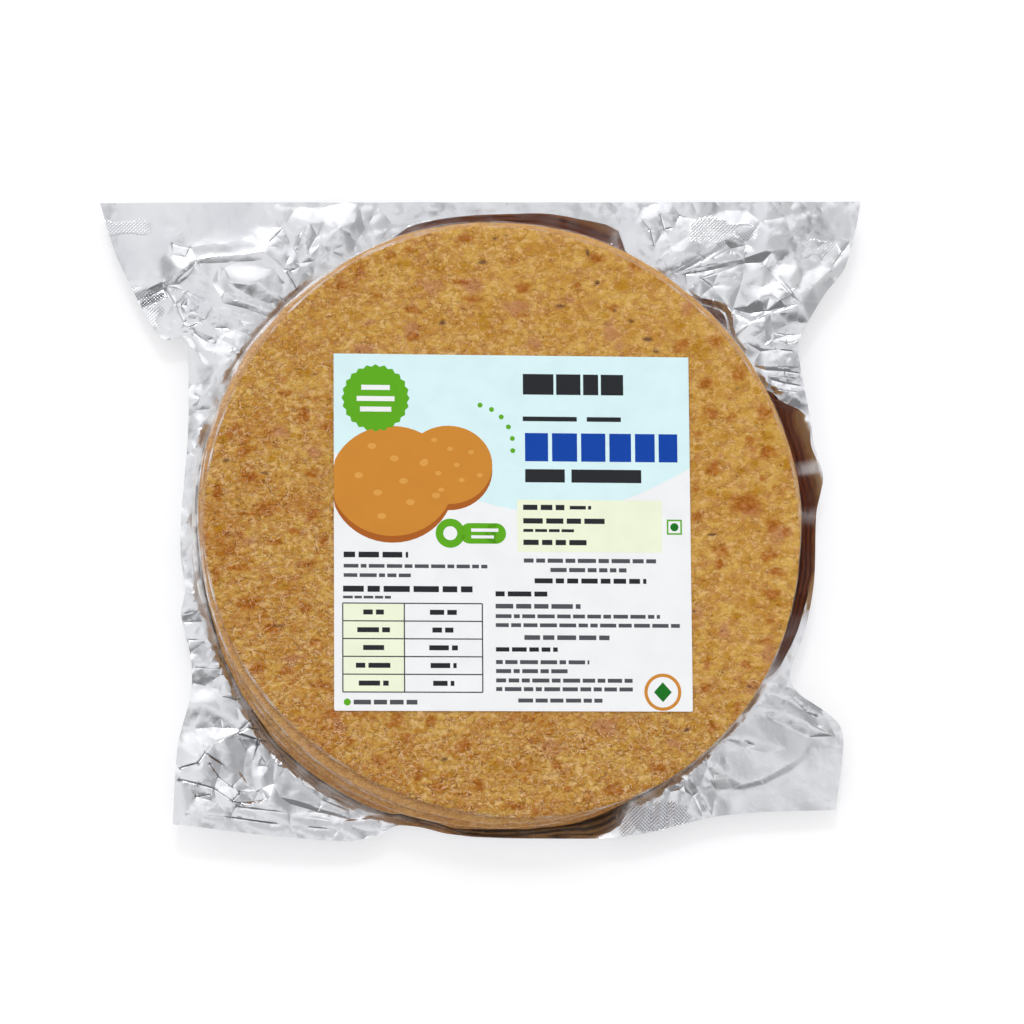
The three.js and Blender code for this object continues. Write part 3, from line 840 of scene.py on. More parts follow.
def breadFinish():
    finish = Finish("roasted flatbread", roughness=0.6, Specular_IOR_Level=0.05)
    x, y, z = finish.axes()
    topOnly = z.between(stackTop - 1.2, stackTop - 0.7)
    toast, pink, amber, fleck = (finish.painted(kind) for kind in ("toast", "pink", "amber", "fleck"))
    flat = finish.vectorMath("MULTIPLY", finish.place, (1, 1.3, 1))
    middle = finish.noiseAt(bread["middle"], 3, 0.6, 0.8, place=flat)
    fine = finish.noiseAt(bread["fine"], 3, 0.55, 0.6, place=flat)
    wide = finish.noiseAt(bread["wide"], 2, 0.6)
    # the crumbs' places drift a little, so that none is straight edged
    drift = finish.node("ShaderNodeTexNoise", None, {"Vector": flat, "Scale": 400, "Detail": 1}, "Color")
    drift = finish.vectorMath("SUBTRACT", drift, (0.5, 0.5, 0.5))
    drift = finish.vectorMath("MULTIPLY", drift, (0.0018, 0.0018, 0.0018))
    spot = finish.vectorMath("ADD", flat, drift)
    warmth = (x * -0.6 - y * 0.35).between(-60, 76)
    # the foot and the lower left, where the film's shine is painted in: more painted glints and a paler ground,
    # with stronger toast clouds, dark lines and relief
    shineZone = (-y).between(30, 70).most(warmth)  # the film shines on small wrinkles at the foot and the lower left
    rough = 0.45 + shineZone * 0.45

    def over(colour, mask, name):
        return finish.mix(mask, colour, bread[name])

    # the ground: golden crumbs of slightly different tan, with clouds of toast
    crumbs = finish.cellsAt(bread["crumb"], output="Color", place=spot)
    tint, blush = finish.channel(crumbs, 0), finish.channel(crumbs, 1)
    colour = over(bread["golden"], middle.between(0.4, 0.6) * 0.65 + tint * 0.35, "tan")
    colour = over(colour, blush.between(0.6, 0.9) * 0.35, "pink")
    colour = over(colour, fine.between(0.48, 0.36) * (0.64 + shineZone * 0.3), "pale")
    cloud = wide.between(0.4, 0.68) * (0.12 + warmth * 0.5) + fine.between(0.5, 0.66) * (0.1 + shineZone * 0.5)
    colour = over(colour, cloud.least(1) * 0.66, "toast")
    colour = over(colour, pink * 0.6, "pink")
    colour = over(colour, amber * (0.35 + fine * 0.6), "olive")
    # small blisters with pale rims
    loose = finish.vectorMath("ADD", spot, drift)
    ring = finish.cellsAt(bread["blister"], place=loose) + (fine - 0.5) * 0.2
    chance = finish.channel(finish.cellsAt(bread["blister"], output="Color", place=loose), 0)
    edge = ring - chance * 0.5 + 0.08
    some = chance.between(0.5, 0.52)
    rim = edge.between(-0.04, 0.0) * (1 - edge.between(0.02, 0.08))
    colour = over(colour, (1 - edge.between(-0.08, 0.02)) * some * 0.42, "olive")
    colour = over(colour, rim * some * fine.between(0.4, 0.55) * 0.6, "pale")
    # roasted patches, speckled darker inside
    colour = over(colour, toast * (0.22 + fine * 0.8), "toast")
    colour = over(colour, toast * fine.between(0.5, 0.66) * 0.35, "wrinkleAndShade")
    # thin broken lines between the crumbs, painted shade in the gaps between them, and long wrinkles drawn as a
    # line of painted shade with a painted highlight beside it
    broken = finish.noiseAt(bread["short"], 1, 0.5, place=finish.moved(3, 4, 2)).between(0.47, 0.53)
    crumbShade = broken * (1 - finish.cellsAt(bread["crumb"], "DISTANCE_TO_EDGE", place=spot).between(0.0, 0.09))
    colour = over(colour, crumbShade * (0.2 + rough * 0.35), "wrinkleAndShade")
    wander = finish.noiseAt(bread["long"], 2, 0.6, 1.2, place=finish.moved(2, 7, 1)) - 0.5
    line, shine = (1 - way.absolute().between(0.004, 0.02) for way in (wander, wander - 0.03))
    kept = middle.between(0.4, 0.56)
    colour = over(colour, line * kept * (0.45 + shineZone * 0.25), "wrinkleAndShade")
    colour = over(colour, shine * kept * (0.1 + shineZone * 0.9), "glint")
    # bran specks, the few large dark flecks, and painted highlights for the film's tiny glints
    speck = finish.cellsAt(bread["bran"], place=finish.moved(6, 2, 2))
    colour = over(colour, (1 - speck.between(0.06, 0.14)) * middle.between(0.5, 0.56) * 0.6, "fleck")
    colour = over(colour, fleck * 0.85, "fleck")
    sparkle = finish.cellsAt(bread["sparkle"], place=finish.vectorMath("ADD", flat, (0.2, 0.1, 0)))
    sparkle = 1 - sparkle.between(0.1, 0.2)
    # painted highlights: the film's glints as pale pink spots in the colour
    colour = over(colour, sparkle * wide.between(0.5, 0.62) * warmth * topOnly * 0.55, "glint")
    # the rims below are painted paler, partly their own paler tone and partly painted light where they sit in the
    # shaded gap; low down, where the foil's wall stands close, a painted shade of dark red brown
    colour = over(colour, (1 - topOnly) * 0.55, "rim")
    reddish = (x + y * 0.8).between(-40, 60) * 0.7 + 0.2
    colour = over(colour, (1 - z.between(7.5, 12)) * reddish, "lowShade")
    finish.feed("Base Color", colour)
    finish.feed("Roughness", 0.7 - fine * 0.25)
    finish.feed("Normal", finish.bump(fine * rough, *bread["bump"]))
    return finish.material


def makeBread(index, material):
    top = index == stack["breads"] - 1
    columns = bread["columns"] if top else bread["lowerColumns"]
    if top:
        shares = np.concatenate([np.linspace(0.0, 0.56, 9), np.linspace(0.56, 0.985, 80)[1:]])
    else:
        shares = np.array(bread["lowerFace"])
    rings = len(shares) + len(bread["side"]) + len(bread["under"])
    turn = np.linspace(0, 2 * math.pi, columns + 1)
    rim = rimAt(index, turn)
    cx, cy = np.cos(turn), np.sin(turn)
    (small, smallCell), (large, largeCell) = bread["uneven"]
    uneven = (small * softNoise(rim * cx, rim * cy, smallCell, 20 + index)
              + large * softNoise(rim * cx, rim * cy, largeCell, 40 + index))
    rim = rim - 0.08 + uneven
    crown = crownHeight(index) - 0.05
    floor = crown - bread["thickness"] + 0.16
    half = (crown - floor) / 2
    points = np.empty((rings, columns + 1, 3))
    tilt = bread["tilt"] * softNoise(cx * 60, cy * 60, 30, 60 + index)

    def fill(ring, radius, height):
        points[ring, :, 0], points[ring, :, 1], points[ring, :, 2] = radius * cx, radius * cy, height

    for n, share in enumerate(shares):
        radius = rim * share
        height = np.full(columns + 1, crown)
        if top:
            px, py = radius * cx, radius * cy
            height = crown + faceRelief(px, py) + grain(px, py) * underLabel(px, py) - 0.1
            height -= 0.25 * smoothStep((share - bread["edge"]) / 0.02)
        else:
            height = height + tilt * share - 0.1 * smoothStep((share - 0.96) / 0.02)
        fill(n, radius, height)
    for n, slope in enumerate(np.radians(bread["side"])):
        radius = rim - half * 0.55 + half * 0.55 * math.cos(slope)
        height = (crown + floor) / 2 + half * 0.92 * math.sin(slope) + (0 if top else tilt)
        fill(len(shares) + n, radius, height + (faceRelief(rim * cx, rim * cy) * 0.5 if top else 0))
    for n, share in enumerate(bread["under"]):
        height = np.full(columns + 1, floor) + (0 if top else tilt * share)
        fill(len(shares) + len(bread["side"]) + n, rim * share, height)
    piece = polarSheet("khakhra_%d" % (index + 1), columns, rings)
    placePoints(piece, points.reshape(-1, 3))
    if top:
        px, py = points[:, :, 0].ravel(), points[:, :, 1].ravel()
        for kind in marks:
            paint(piece, kind, markAt(kind, px, py))
    closeSeams(piece)
    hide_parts("clear_front")
    finishPiece(piece, material)


roastedFlatbread = breadFinish()
for index in range(stack["breads"]):
    makeBread(index, roastedFlatbread)
print("breads made")

# The foil web

# Fold lines of the skirt in millimetres, each point with its height over the calm skirt
foldLines = [
    # top left
    [(-101.2, 72.1, 1.4), (-97.0, 76.3, 2.0), (-92.5, 80.0, 2.6), (-87.4, 81.0, 2.5), (-79.3, 81.7, 2.4),
     (-72.0, 82.5, 2.3)],
    [(-97.9, 74.0, 1.2), (-94.9, 76.8, 1.3), (-91.3, 78.9, 1.7), (-87.4, 79.0, 1.5), (-79.8, 79.5, 1.4),
     (-72.6, 79.9, 1.5)],
    [(-72.0, 82.5, 2.3), (-71.1, 84.5, 1.7), (-68.6, 87.7, 0.9), (-66.1, 90.3, 0.5)],
    [(-72.0, 82.5, 2.3), (-65.9, 77.8, 1.6), (-62.0, 71.4, 1.2)],
    [(-101.2, 72.1, 1.4), (-95.5, 70.4, 0.9), (-89.7, 67.5, 0.6), (-81.6, 64.8, 0.9), (-70.1, 60.7, 0.7)],
    [(-92.5, 80.0, 2.6), (-91.6, 76.1, 1.9), (-92.2, 72.8, 1.5)],
    [(-97.9, 72.6, 0.6), (-94.9, 74.7, 1.0), (-93.1, 78.1, 1.2)],
    [(-91.6, 73.4, 1.5), (-89.4, 70.1, 1.3), (-87.0, 66.9, 0.8)],
    [(-91.6, 73.4, 1.5), (-87.9, 73.0, 1.0), (-84.9, 68.8, 0.8), (-87.0, 66.9, 0.8)],
    [(-85.5, 78.1, 1.6), (-85.9, 73.4, 2.0), (-84.0, 70.1, 1.9), (-79.8, 67.7, 1.6), (-73.1, 65.4, 1.3),
     (-66.8, 62.5, 0.8)],
    [(-84.0, 77.6, 1.3), (-82.8, 73.3, 1.3), (-80.4, 71.5, 1.2)],
    [(-81.4, 72.8, 2.5), (-76.8, 72.2, 2.6), (-73.8, 73.5, 2.4), (-70.8, 70.3, 1.9), (-66.5, 68.0, 1.4),
     (-63.2, 67.4, 1.1)],
    [(-72.6, 77.7, 1.5), (-68.6, 77.2, 1.3), (-66.2, 73.2, 1.2)],
    [(-81.6, 70.6, 1.2), (-75.5, 68.5, 1.0), (-70.1, 66.8, 0.8), (-65.2, 64.7, 0.6)],
    [(-84.6, 66.9, 0.9), (-77.6, 65.2, 0.6), (-72.5, 63.1, 0.5), (-68.3, 61.4, 0.4)],
    [(-94.9, 68.8, 1.3), (-91.2, 65.9, 0.9), (-91.2, 62.6, 0.6), (-95.4, 63.6, 1.2), (-96.9, 65.9, 0.5),
     (-94.9, 68.8, 1.3)],
    [(-95.1, 66.3, 0.2), (-93.0, 64.5, 0.1)],
    [(-101.2, 70.7, 0.6), (-98.4, 66.8, 0.3), (-96.0, 61.1, 0.2), (-94.2, 58.8, 0.7), (-91.2, 61.0, 0.8),
     (-89.7, 62.1, -0.1)],
    [(-93.0, 57.6, 0.7), (-85.8, 56.2, 0.9), (-81.0, 53.7, 1.0), (-78.0, 52.2, 1.2)],
    [(-92.4, 56.3, -0.4), (-89.3, 55.5, -0.9), (-86.3, 54.3, -0.7), (-81.5, 52.4, 0.2)],
    [(-93.6, 54.3, 0.5), (-87.0, 52.2, 0.8), (-82.7, 50.4, 0.6)],
    [(-89.4, 61.9, 0.9), (-84.6, 62.6, 1.1), (-79.2, 61.5, 0.8), (-72.5, 59.7, 0.9)],
    [(-86.7, 59.3, 0.4), (-80.3, 58.8, 0.3), (-75.5, 57.0, 0.5)],
    [(-78.3, 60.2, 1.2), (-77.3, 58.1, 0.7), (-76.1, 56.1, 0.3)],
    [(-111.1, 70.1, 0.2), (-106.9, 71.0, 0.4), (-102.4, 73.2, 0.6)],
    [(-110.1, 68.1, -0.9), (-106.2, 69.5, -1.5), (-102.3, 71.4, -1.4)],
    [(-108.9, 65.8, 0.2), (-105.1, 67.0, 0.5), (-101.2, 68.9, 0.5)],
    [(-99.7, 85.2, 0.5), (-94.3, 84.1, 0.1), (-95.5, 81.3, 0.5), (-99.7, 81.8, 0.7), (-99.7, 85.2, 0.5)],
    [(-58.0, 92.1, 1.4), (-61.3, 88.1, 0.9), (-62.8, 83.6, 0.5), (-61.3, 79.3, 0.4)],
    [(-58.0, 92.1, 1.4), (-58.9, 86.5, 1.6), (-58.6, 81.6, 1.5), (-61.3, 79.3, 0.4)],
    [(-53.4, 92.6, 0.9), (-55.8, 88.0, 0.6), (-58.3, 83.7, 0.4)],
    [(-58.3, 81.3, 1.5), (-55.0, 85.1, 1.3), (-48.9, 90.4, 1.5), (-45.2, 91.4, 1.2)],
    [(-56.7, 80.0, 0.5), (-51.9, 83.1, 0.5), (-47.0, 85.0, 0.8)],
    [(-65.6, 77.8, 1.6), (-63.2, 79.3, 1.7), (-61.3, 78.0, 1.0), (-64.0, 76.7, 0.7)],
    [(-90.5, 42.5, 0.2), (-86.7, 46.6, 1.0), (-85.7, 41.3, 0.2)],
    [(-86.1, 56.8, 0.6), (-86.1, 52.6, 0.5), (-86.4, 48.2, 0.6)],
    # top right
    [(52.8, 78.3, 0.9), (61.4, 83.6, 1.4), (68.6, 88.3, 1.8), (73.0, 91.9, 1.3), (80.3, 94.3, 0.9),
     (88.1, 96.0, 0.6)],
    [(54.7, 78.1, 0.4), (62.8, 82.3, 0.5), (70.0, 86.7, 0.6)],
    [(68.6, 88.3, 1.8), (65.3, 92.2, 0.9), (61.7, 94.4, 0.6), (55.6, 95.9, 0.4)],
    [(66.5, 89.1, 1.0), (62.9, 91.5, 0.9), (58.5, 92.7, 0.9)],
    [(53.4, 77.4, 0.6), (61.5, 80.0, 1.0), (69.2, 81.3, 1.2), (75.3, 82.9, 1.6), (81.5, 85.0, 2.0),
     (89.4, 90.0, 1.4)],
    [(57.2, 77.6, 0.2), (65.3, 79.2, 0.3), (75.3, 81.3, -0.2), (80.8, 81.7, 0.1)],
    [(65.5, 82.8, 0.9), (71.2, 85.8, 0.4), (71.7, 83.2, 1.0)],
    [(72.3, 88.4, 1.7), (75.6, 86.9, 0.2), (74.8, 82.7, 0.9)],
    [(81.4, 80.7, 2.1), (85.5, 77.8, 1.3), (89.2, 73.1, 1.2), (91.9, 69.1, 1.5)],
    [(81.4, 80.7, 2.1), (83.7, 84.8, 2.0), (90.1, 90.0, 1.4), (96.4, 92.0, 0.9), (103.8, 89.3, -0.3),
     (108.1, 88.4, -0.5)],
    [(91.9, 69.1, 1.5), (96.1, 73.9, 1.0), (101.9, 79.7, 0.3), (108.1, 88.4, -0.5)],
    [(89.4, 85.6, 1.2), (91.7, 86.7, 0.6), (93.5, 84.6, 0.6), (92.6, 82.1, 0.3), (90.4, 83.8, 0.9)],
    [(90.9, 80.1, 0.9), (93.5, 78.0, 0.4), (91.8, 73.9, 0.8)],
    [(82.2, 80.0, 0.9), (85.7, 75.8, 0.3), (90.0, 70.9, 0.2)],
    [(60.3, 69.9, 1.7), (65.2, 69.3, 2.0), (69.8, 68.1, 1.9), (72.0, 65.4, 1.6), (71.7, 60.8, 1.1)],
    [(61.1, 68.5, 0.6), (65.0, 67.6, 0.7), (68.7, 66.4, 0.7), (69.7, 63.7, 0.4)],
    [(73.3, 66.7, -0.5), (77.0, 65.9, -0.9), (81.7, 66.6, -0.8), (87.8, 68.1, 0.0), (91.9, 68.8, 1.5)],
    [(71.5, 67.4, 1.0), (76.1, 68.0, 1.2), (78.8, 69.8, 1.9), (83.0, 71.5, 1.2), (85.9, 69.6, 1.9),
     (89.8, 71.6, 1.3)],
    [(71.9, 59.2, 1.7), (77.2, 62.9, 1.9), (82.8, 65.8, 1.7), (91.9, 68.8, 1.5)],
    [(61.4, 76.5, 1.2), (67.1, 78.3, 0.5), (72.5, 77.3, 1.1), (65.2, 73.9, 0.4), (61.4, 76.5, 1.2)],
    [(74.3, 75.4, 1.3), (80.6, 74.0, 0.9), (86.7, 73.1, 1.4)],
    [(72.7, 58.5, 0.5), (75.3, 56.5, 1.1), (78.8, 54.5, 0.5)],
    [(81.2, 60.6, 1.5), (82.9, 57.6, 0.5), (79.6, 55.0, 1.2)],
    [(83.3, 59.9, 0.2), (87.7, 59.1, -0.4), (92.0, 59.4, -0.2)],
    [(83.4, 57.3, 0.9), (87.8, 56.7, 0.9), (91.5, 57.1, 0.6)],
    [(79.7, 53.9, 0.5), (84.7, 54.5, 0.6), (89.9, 54.0, 0.5)],
    [(80.4, 49.4, 1.5), (85.7, 49.1, 1.5), (91.3, 48.9, 1.2)],
    [(81.5, 48.0, 0.6), (87.1, 47.8, 0.5), (91.7, 47.2, 0.4)],
    [(81.9, 46.3, 1.3), (87.2, 46.1, 1.2), (91.9, 45.3, 1.0)],
    [(83.0, 45.0, 0.4), (87.7, 44.1, 0.3), (92.3, 43.2, 0.4)],
    [(84.3, 42.3, 1.6), (88.0, 41.7, 1.4), (92.8, 41.2, 1.0)],
    [(47.7, 81.4, 0.4), (52.9, 86.4, 0.9), (58.4, 89.5, 1.3), (63.5, 90.9, 0.9)],
    [(50.3, 80.7, 1.3), (56.4, 84.4, 1.8), (61.5, 86.5, 1.3)],
    [(43.4, 95.0, 0.8), (46.2, 91.3, 0.9), (47.4, 86.4, 0.6)],
    [(49.3, 96.0, 0.9), (50.6, 91.5, 0.2), (53.0, 92.0, 0.9)],
    # bottom left
    [(-79.6, -63.3, 1.9), (-83.2, -64.8, 1.5), (-87.0, -66.6, 1.1), (-89.4, -69.2, 1.2), (-84.3, -72.5, 0.6),
     (-80.2, -75.5, 0.9)],
    [(-79.6, -63.3, 1.9), (-73.7, -65.1, 1.7), (-67.7, -66.3, 1.7), (-63.5, -67.7, 1.2)],
    [(-79.6, -63.3, 1.9), (-76.1, -61.5, 1.4), (-70.7, -62.9, 1.1), (-64.7, -67.1, 1.2)],
    [(-79.0, -62.0, 0.9), (-75.5, -59.1, 1.6), (-72.5, -57.0, 1.3)],
    [(-84.4, -65.7, 1.7), (-81.4, -69.8, 0.9), (-79.9, -73.7, 0.5), (-78.7, -76.6, 0.2)],
    [(-79.0, -65.0, 0.1), (-77.1, -68.2, -0.5), (-77.7, -72.4, -0.8), (-78.0, -75.9, -0.7), (-76.2, -79.2, -0.5),
     (-73.6, -80.8, 0.1)],
    [(-73.7, -66.8, 1.2), (-75.4, -71.3, 0.5), (-75.4, -76.6, 0.6), (-72.4, -79.6, 1.1), (-70.1, -82.4, 1.9)],
    [(-96.8, -73.7, 0.3), (-91.5, -72.2, 1.0), (-89.4, -69.2, 1.2)],
    [(-87.9, -72.5, 1.2), (-85.5, -76.3, 0.6), (-81.4, -79.3, 0.8)],
    [(-97.1, -77.2, 0.6), (-91.5, -78.5, 1.2), (-86.7, -79.9, 0.9), (-81.1, -83.6, 1.6)],
    [(-92.0, -82.3, 0.1), (-87.9, -81.7, 1.1), (-86.1, -83.8, 0.3)],
    [(-81.1, -83.6, 1.6), (-79.0, -80.8, 0.9), (-74.2, -80.5, 0.7)],
    [(-81.1, -83.6, 1.6), (-77.2, -85.0, 1.3), (-73.6, -84.4, 1.2), (-70.1, -82.4, 1.9)],
    [(-78.9, -84.0, 0.1), (-74.7, -83.4, -0.5), (-71.2, -82.5, -0.2)],
    [(-67.4, -67.5, 2.1), (-68.6, -72.8, 1.7), (-68.9, -78.5, 1.6), (-67.1, -82.3, 1.3)],
    [(-70.0, -68.9, 0.6), (-70.6, -73.6, 0.4), (-70.3, -78.7, 0.4)],
    [(-67.4, -67.5, 2.1), (-64.2, -72.3, 2.2), (-60.6, -76.1, 2.0), (-53.7, -81.5, 1.9), (-46.3, -84.4, 1.6),
     (-37.9, -85.9, 1.2)],
    [(-65.3, -73.7, 1.1), (-61.1, -78.1, 0.8), (-53.9, -83.5, 0.4), (-46.2, -86.4, 0.2), (-39.0, -87.6, 0.2)],
    [(-67.1, -82.3, 1.3), (-62.6, -83.2, 1.4), (-55.2, -85.3, 1.2), (-47.7, -87.4, 0.9)],
    [(-64.1, -84.3, 0.2), (-55.7, -86.7, 0.0), (-46.2, -88.8, 0.1)],
    [(-72.5, -70.4, 1.5), (-70.9, -73.0, 0.3), (-72.2, -76.1, 1.3), (-73.3, -73.0, 0.4), (-72.5, -70.4, 1.5)],
    [(-80.1, -85.3, 0.6), (-64.1, -87.1, 0.8), (-49.2, -89.7, 0.6), (-35.5, -88.3, 0.9)],
    [(-95.0, -87.6, 0.5), (-81.9, -88.5, 0.2), (-64.1, -90.9, 0.4), (-49.2, -92.1, 0.2)],
    [(-93.3, -43.6, 1.4), (-89.2, -43.9, 1.5), (-85.0, -44.1, 1.3)],
    [(-93.9, -48.0, 0.2), (-89.4, -49.1, 0.1), (-85.3, -50.3, 0.3)],
    [(-94.2, -54.6, 1.3), (-89.8, -54.3, 1.4), (-85.9, -54.0, 1.1)],
    [(-84.7, -39.9, 0.4), (-85.0, -45.9, 0.9), (-84.4, -52.5, 1.2), (-80.2, -53.1, 0.9), (-75.5, -52.5, 1.3)],
    [(-83.2, -42.6, 0.9), (-80.2, -43.7, 0.3), (-81.4, -46.2, 0.9), (-77.8, -48.5, 0.4)],
    [(-84.7, -58.2, 1.4), (-84.3, -61.7, 0.2), (-87.0, -65.1, 1.2), (-87.0, -61.4, 0.3), (-84.7, -58.2, 1.4)],
    [(-63.8, -68.2, 0.3), (-60.5, -70.7, 0.9), (-56.3, -74.8, 0.4)],
    # bottom right
    [(77.5, -54.2, 2.1), (85.4, -56.3, 2.1), (92.4, -59.3, 2.0), (98.8, -63.0, 1.9)],
    [(79.3, -51.1, 0.9), (86.0, -52.9, 0.9), (92.1, -56.5, 0.9), (97.5, -60.8, 1.1)],
    [(83.5, -49.9, 1.5), (88.4, -52.0, 1.4), (93.2, -55.3, 1.3), (98.2, -58.3, 0.9)],
    [(86.1, -48.6, 0.6), (90.4, -51.0, 0.4), (97.1, -56.4, 0.2)],
    [(92.2, -56.4, 0.0), (95.3, -57.9, -0.3), (96.4, -60.7, 0.2)],
    [(79.5, -57.8, 0.8), (86.0, -60.7, 0.3), (92.7, -64.0, 0.1), (101.3, -63.7, 0.1)],
    [(66.8, -64.2, 1.4), (73.2, -64.5, 1.5), (80.2, -65.7, 1.2), (86.7, -67.4, 0.6)],
    [(66.9, -65.0, 0.6), (73.3, -67.7, 0.5), (80.3, -68.9, 0.4), (86.7, -67.4, 0.6)],
    [(72.3, -65.7, 1.1), (74.3, -66.2, 0.2), (76.6, -66.6, 1.0)],
    [(92.8, -66.2, 1.1), (91.8, -68.7, 1.4), (85.6, -72.9, 1.5), (78.2, -76.9, 1.4), (72.1, -78.7, 1.3)],
    [(93.8, -69.2, 0.3), (87.0, -74.4, 0.3), (79.0, -78.3, 0.2), (72.9, -79.8, 0.2)],
    [(63.5, -76.9, 1.7), (67.9, -75.9, 1.2), (72.1, -78.1, 1.3)],
    [(59.4, -78.9, 0.9), (64.3, -80.1, 0.2), (69.5, -79.8, 0.1), (72.9, -79.8, 0.2)],
    [(59.4, -70.3, 1.5), (61.7, -73.2, 0.3), (63.5, -76.9, 1.7)],
    [(57.5, -73.0, 1.3), (60.7, -75.6, 0.1), (63.0, -78.3, 0.9)],
    [(61.4, -69.9, 0.5), (63.0, -72.3, 1.3), (63.7, -75.3, 0.5)],
    [(55.7, -75.7, 1.5), (58.7, -80.8, 1.1), (62.9, -88.3, 0.8)],
    [(54.6, -76.8, 0.2), (57.3, -81.9, 0.1), (60.6, -88.5, 0.2)],
    [(49.5, -77.8, 1.7), (54.4, -79.0, 1.3), (50.9, -80.4, 0.2)],
    [(42.6, -83.2, 1.0), (41.0, -93.1, 0.7)],
    [(45.4, -82.2, 0.2), (43.8, -92.7, 0.1)],
    [(47.7, -81.7, 1.1), (46.4, -91.9, 0.9)],
    [(50.3, -80.7, 0.2), (49.0, -91.2, 0.1)],
    [(52.6, -80.2, 1.3), (51.3, -90.1, 0.8)],
    [(54.9, -80.7, 0.3), (53.9, -89.4, 0.2)],
    [(72.0, -58.9, -0.4), (73.7, -57.8, 1.0)],
    [(68.1, -61.4, 1.1), (73.4, -60.2, 0.8), (77.0, -57.8, 1.2)],
    [(73.0, -85.5, 0.4), (86.8, -83.7, 0.3), (100.3, -82.5, 0.2)],
    # left
    [(-94.2, 35.6, 1.2), (-91.2, 37.7, 1.3), (-87.6, 41.8, 0.9)],
    [(-94.7, 31.8, 0.2), (-92.3, 34.2, 0.3)],
    [(-94.7, 25.0, 0.9), (-92.0, 27.4, 1.2)],
    [(-95.9, 0.7, 1.1), (-92.9, 0.7, 1.0)],
    [(-96.4, -11.3, 0.3), (-92.2, -11.3, 0.5)],
    [(-96.1, -20.5, 1.2), (-91.6, -21.0, 1.2)],
    [(-96.4, -27.7, 1.0), (-91.0, -26.7, 1.2)],
    [(-96.0, -30.0, 0.1), (-90.1, -29.9, 0.2)],
    [(-94.5, -35.4, 0.9), (-88.6, -35.4, 0.9)],
    [(-87.4, -30.0, 1.2), (-86.2, -33.5, 0.2), (-87.1, -37.2, 1.2), (-85.0, -38.3, 0.3)],
    # right
    [(86.2, -38.3, 1.2), (88.1, -43.1, 0.4), (87.3, -48.1, 1.1)],
    [(90.0, -37.6, 0.5), (88.2, -44.4, 1.3), (90.4, -49.8, 0.6)],
]
# Where the skirt lies calm: middle, reach, and how much of the crumple is left
calmPlaces = [(-114, 83, 14, 0.12), (-100, 89, 15, 0.15), (-84, 90, 14, 0.2), (-106, 60, 5, 0.3),
              (90, -74, 14, 0.1), (78, -83, 14, 0.12), (78, -67, 12, 0.1), (96, -79, 9, 0.1),
              (-90, 49, 7, 0.2), (-95, -85, 6, 0.4), (-91, -53, 5, 0.3), (102, 70, 10, 0.2), (105, 94, 6, 0.3),
              (-61, -82, 5, 0.2), (-49, -83, 5, 0.2), (-79, 74, 12, 0.3), (-76, 54, 4, 0.8),
              (-76, -71, 9, 0.3), (86, 79, 10, 0.25), (62, 87, 8, 0.3)]
# Cross-hatch seals and one narrow dark groove at the upper left: middle, half width and half height, slope and how
# dark the painted shade in the hatch's grooves is
knurled = [(-114, 90, 8, 3, 0, 0.4), (-109, 64, 7, 8, 0, 0.12), (69, 91, 12, 4, 0, 0.25), (99, 86, 7, 3, 0, 0.4),
           (45, -89, 12, 6, 0, 0.25), (-105.8, 67.6, 4.4, 1.3, 0.54, 0.95)]


def calmness(x, y):
    calm = np.ones_like(x)
    for cx, cy, reach, left in calmPlaces:
        calm = np.minimum(calm, left + (1 - left) * smoothStep((np.hypot(x - cx, y - cy) / reach - 0.6) / 0.7))
    return calm


def resample(points, step):
    # a line of points no further apart than step
    made = [points[0]]
    for a, b in zip(points, points[1:]):
        parts = max(1, round(math.dist(a[:2], b[:2]) / step))
        made += [tuple(p + (q - p) * n / parts for p, q in zip(a, b)) for n in range(1, parts + 1)]
    return made


def treeOf(points):
    tree = KDTree(len(points))
    for n, point in enumerate(points):
        tree.insert((point[0], point[1], 0), n)
    tree.balance()
    return tree


def hexSpots(step, reachX, reachY, draws, jitter):
    # loose rows of points
    rows = int(reachY / (step * 0.866))
    for j in range(-rows, rows + 1):
        for i in range(-int(reachX / step), int(reachX / step) + 1):
            yield ((i + 0.5 * (j % 2)) * step + draws.uniform(-jitter, jitter) * step,
                   j * step * 0.866 + draws.uniform(-jitter, jitter) * step)


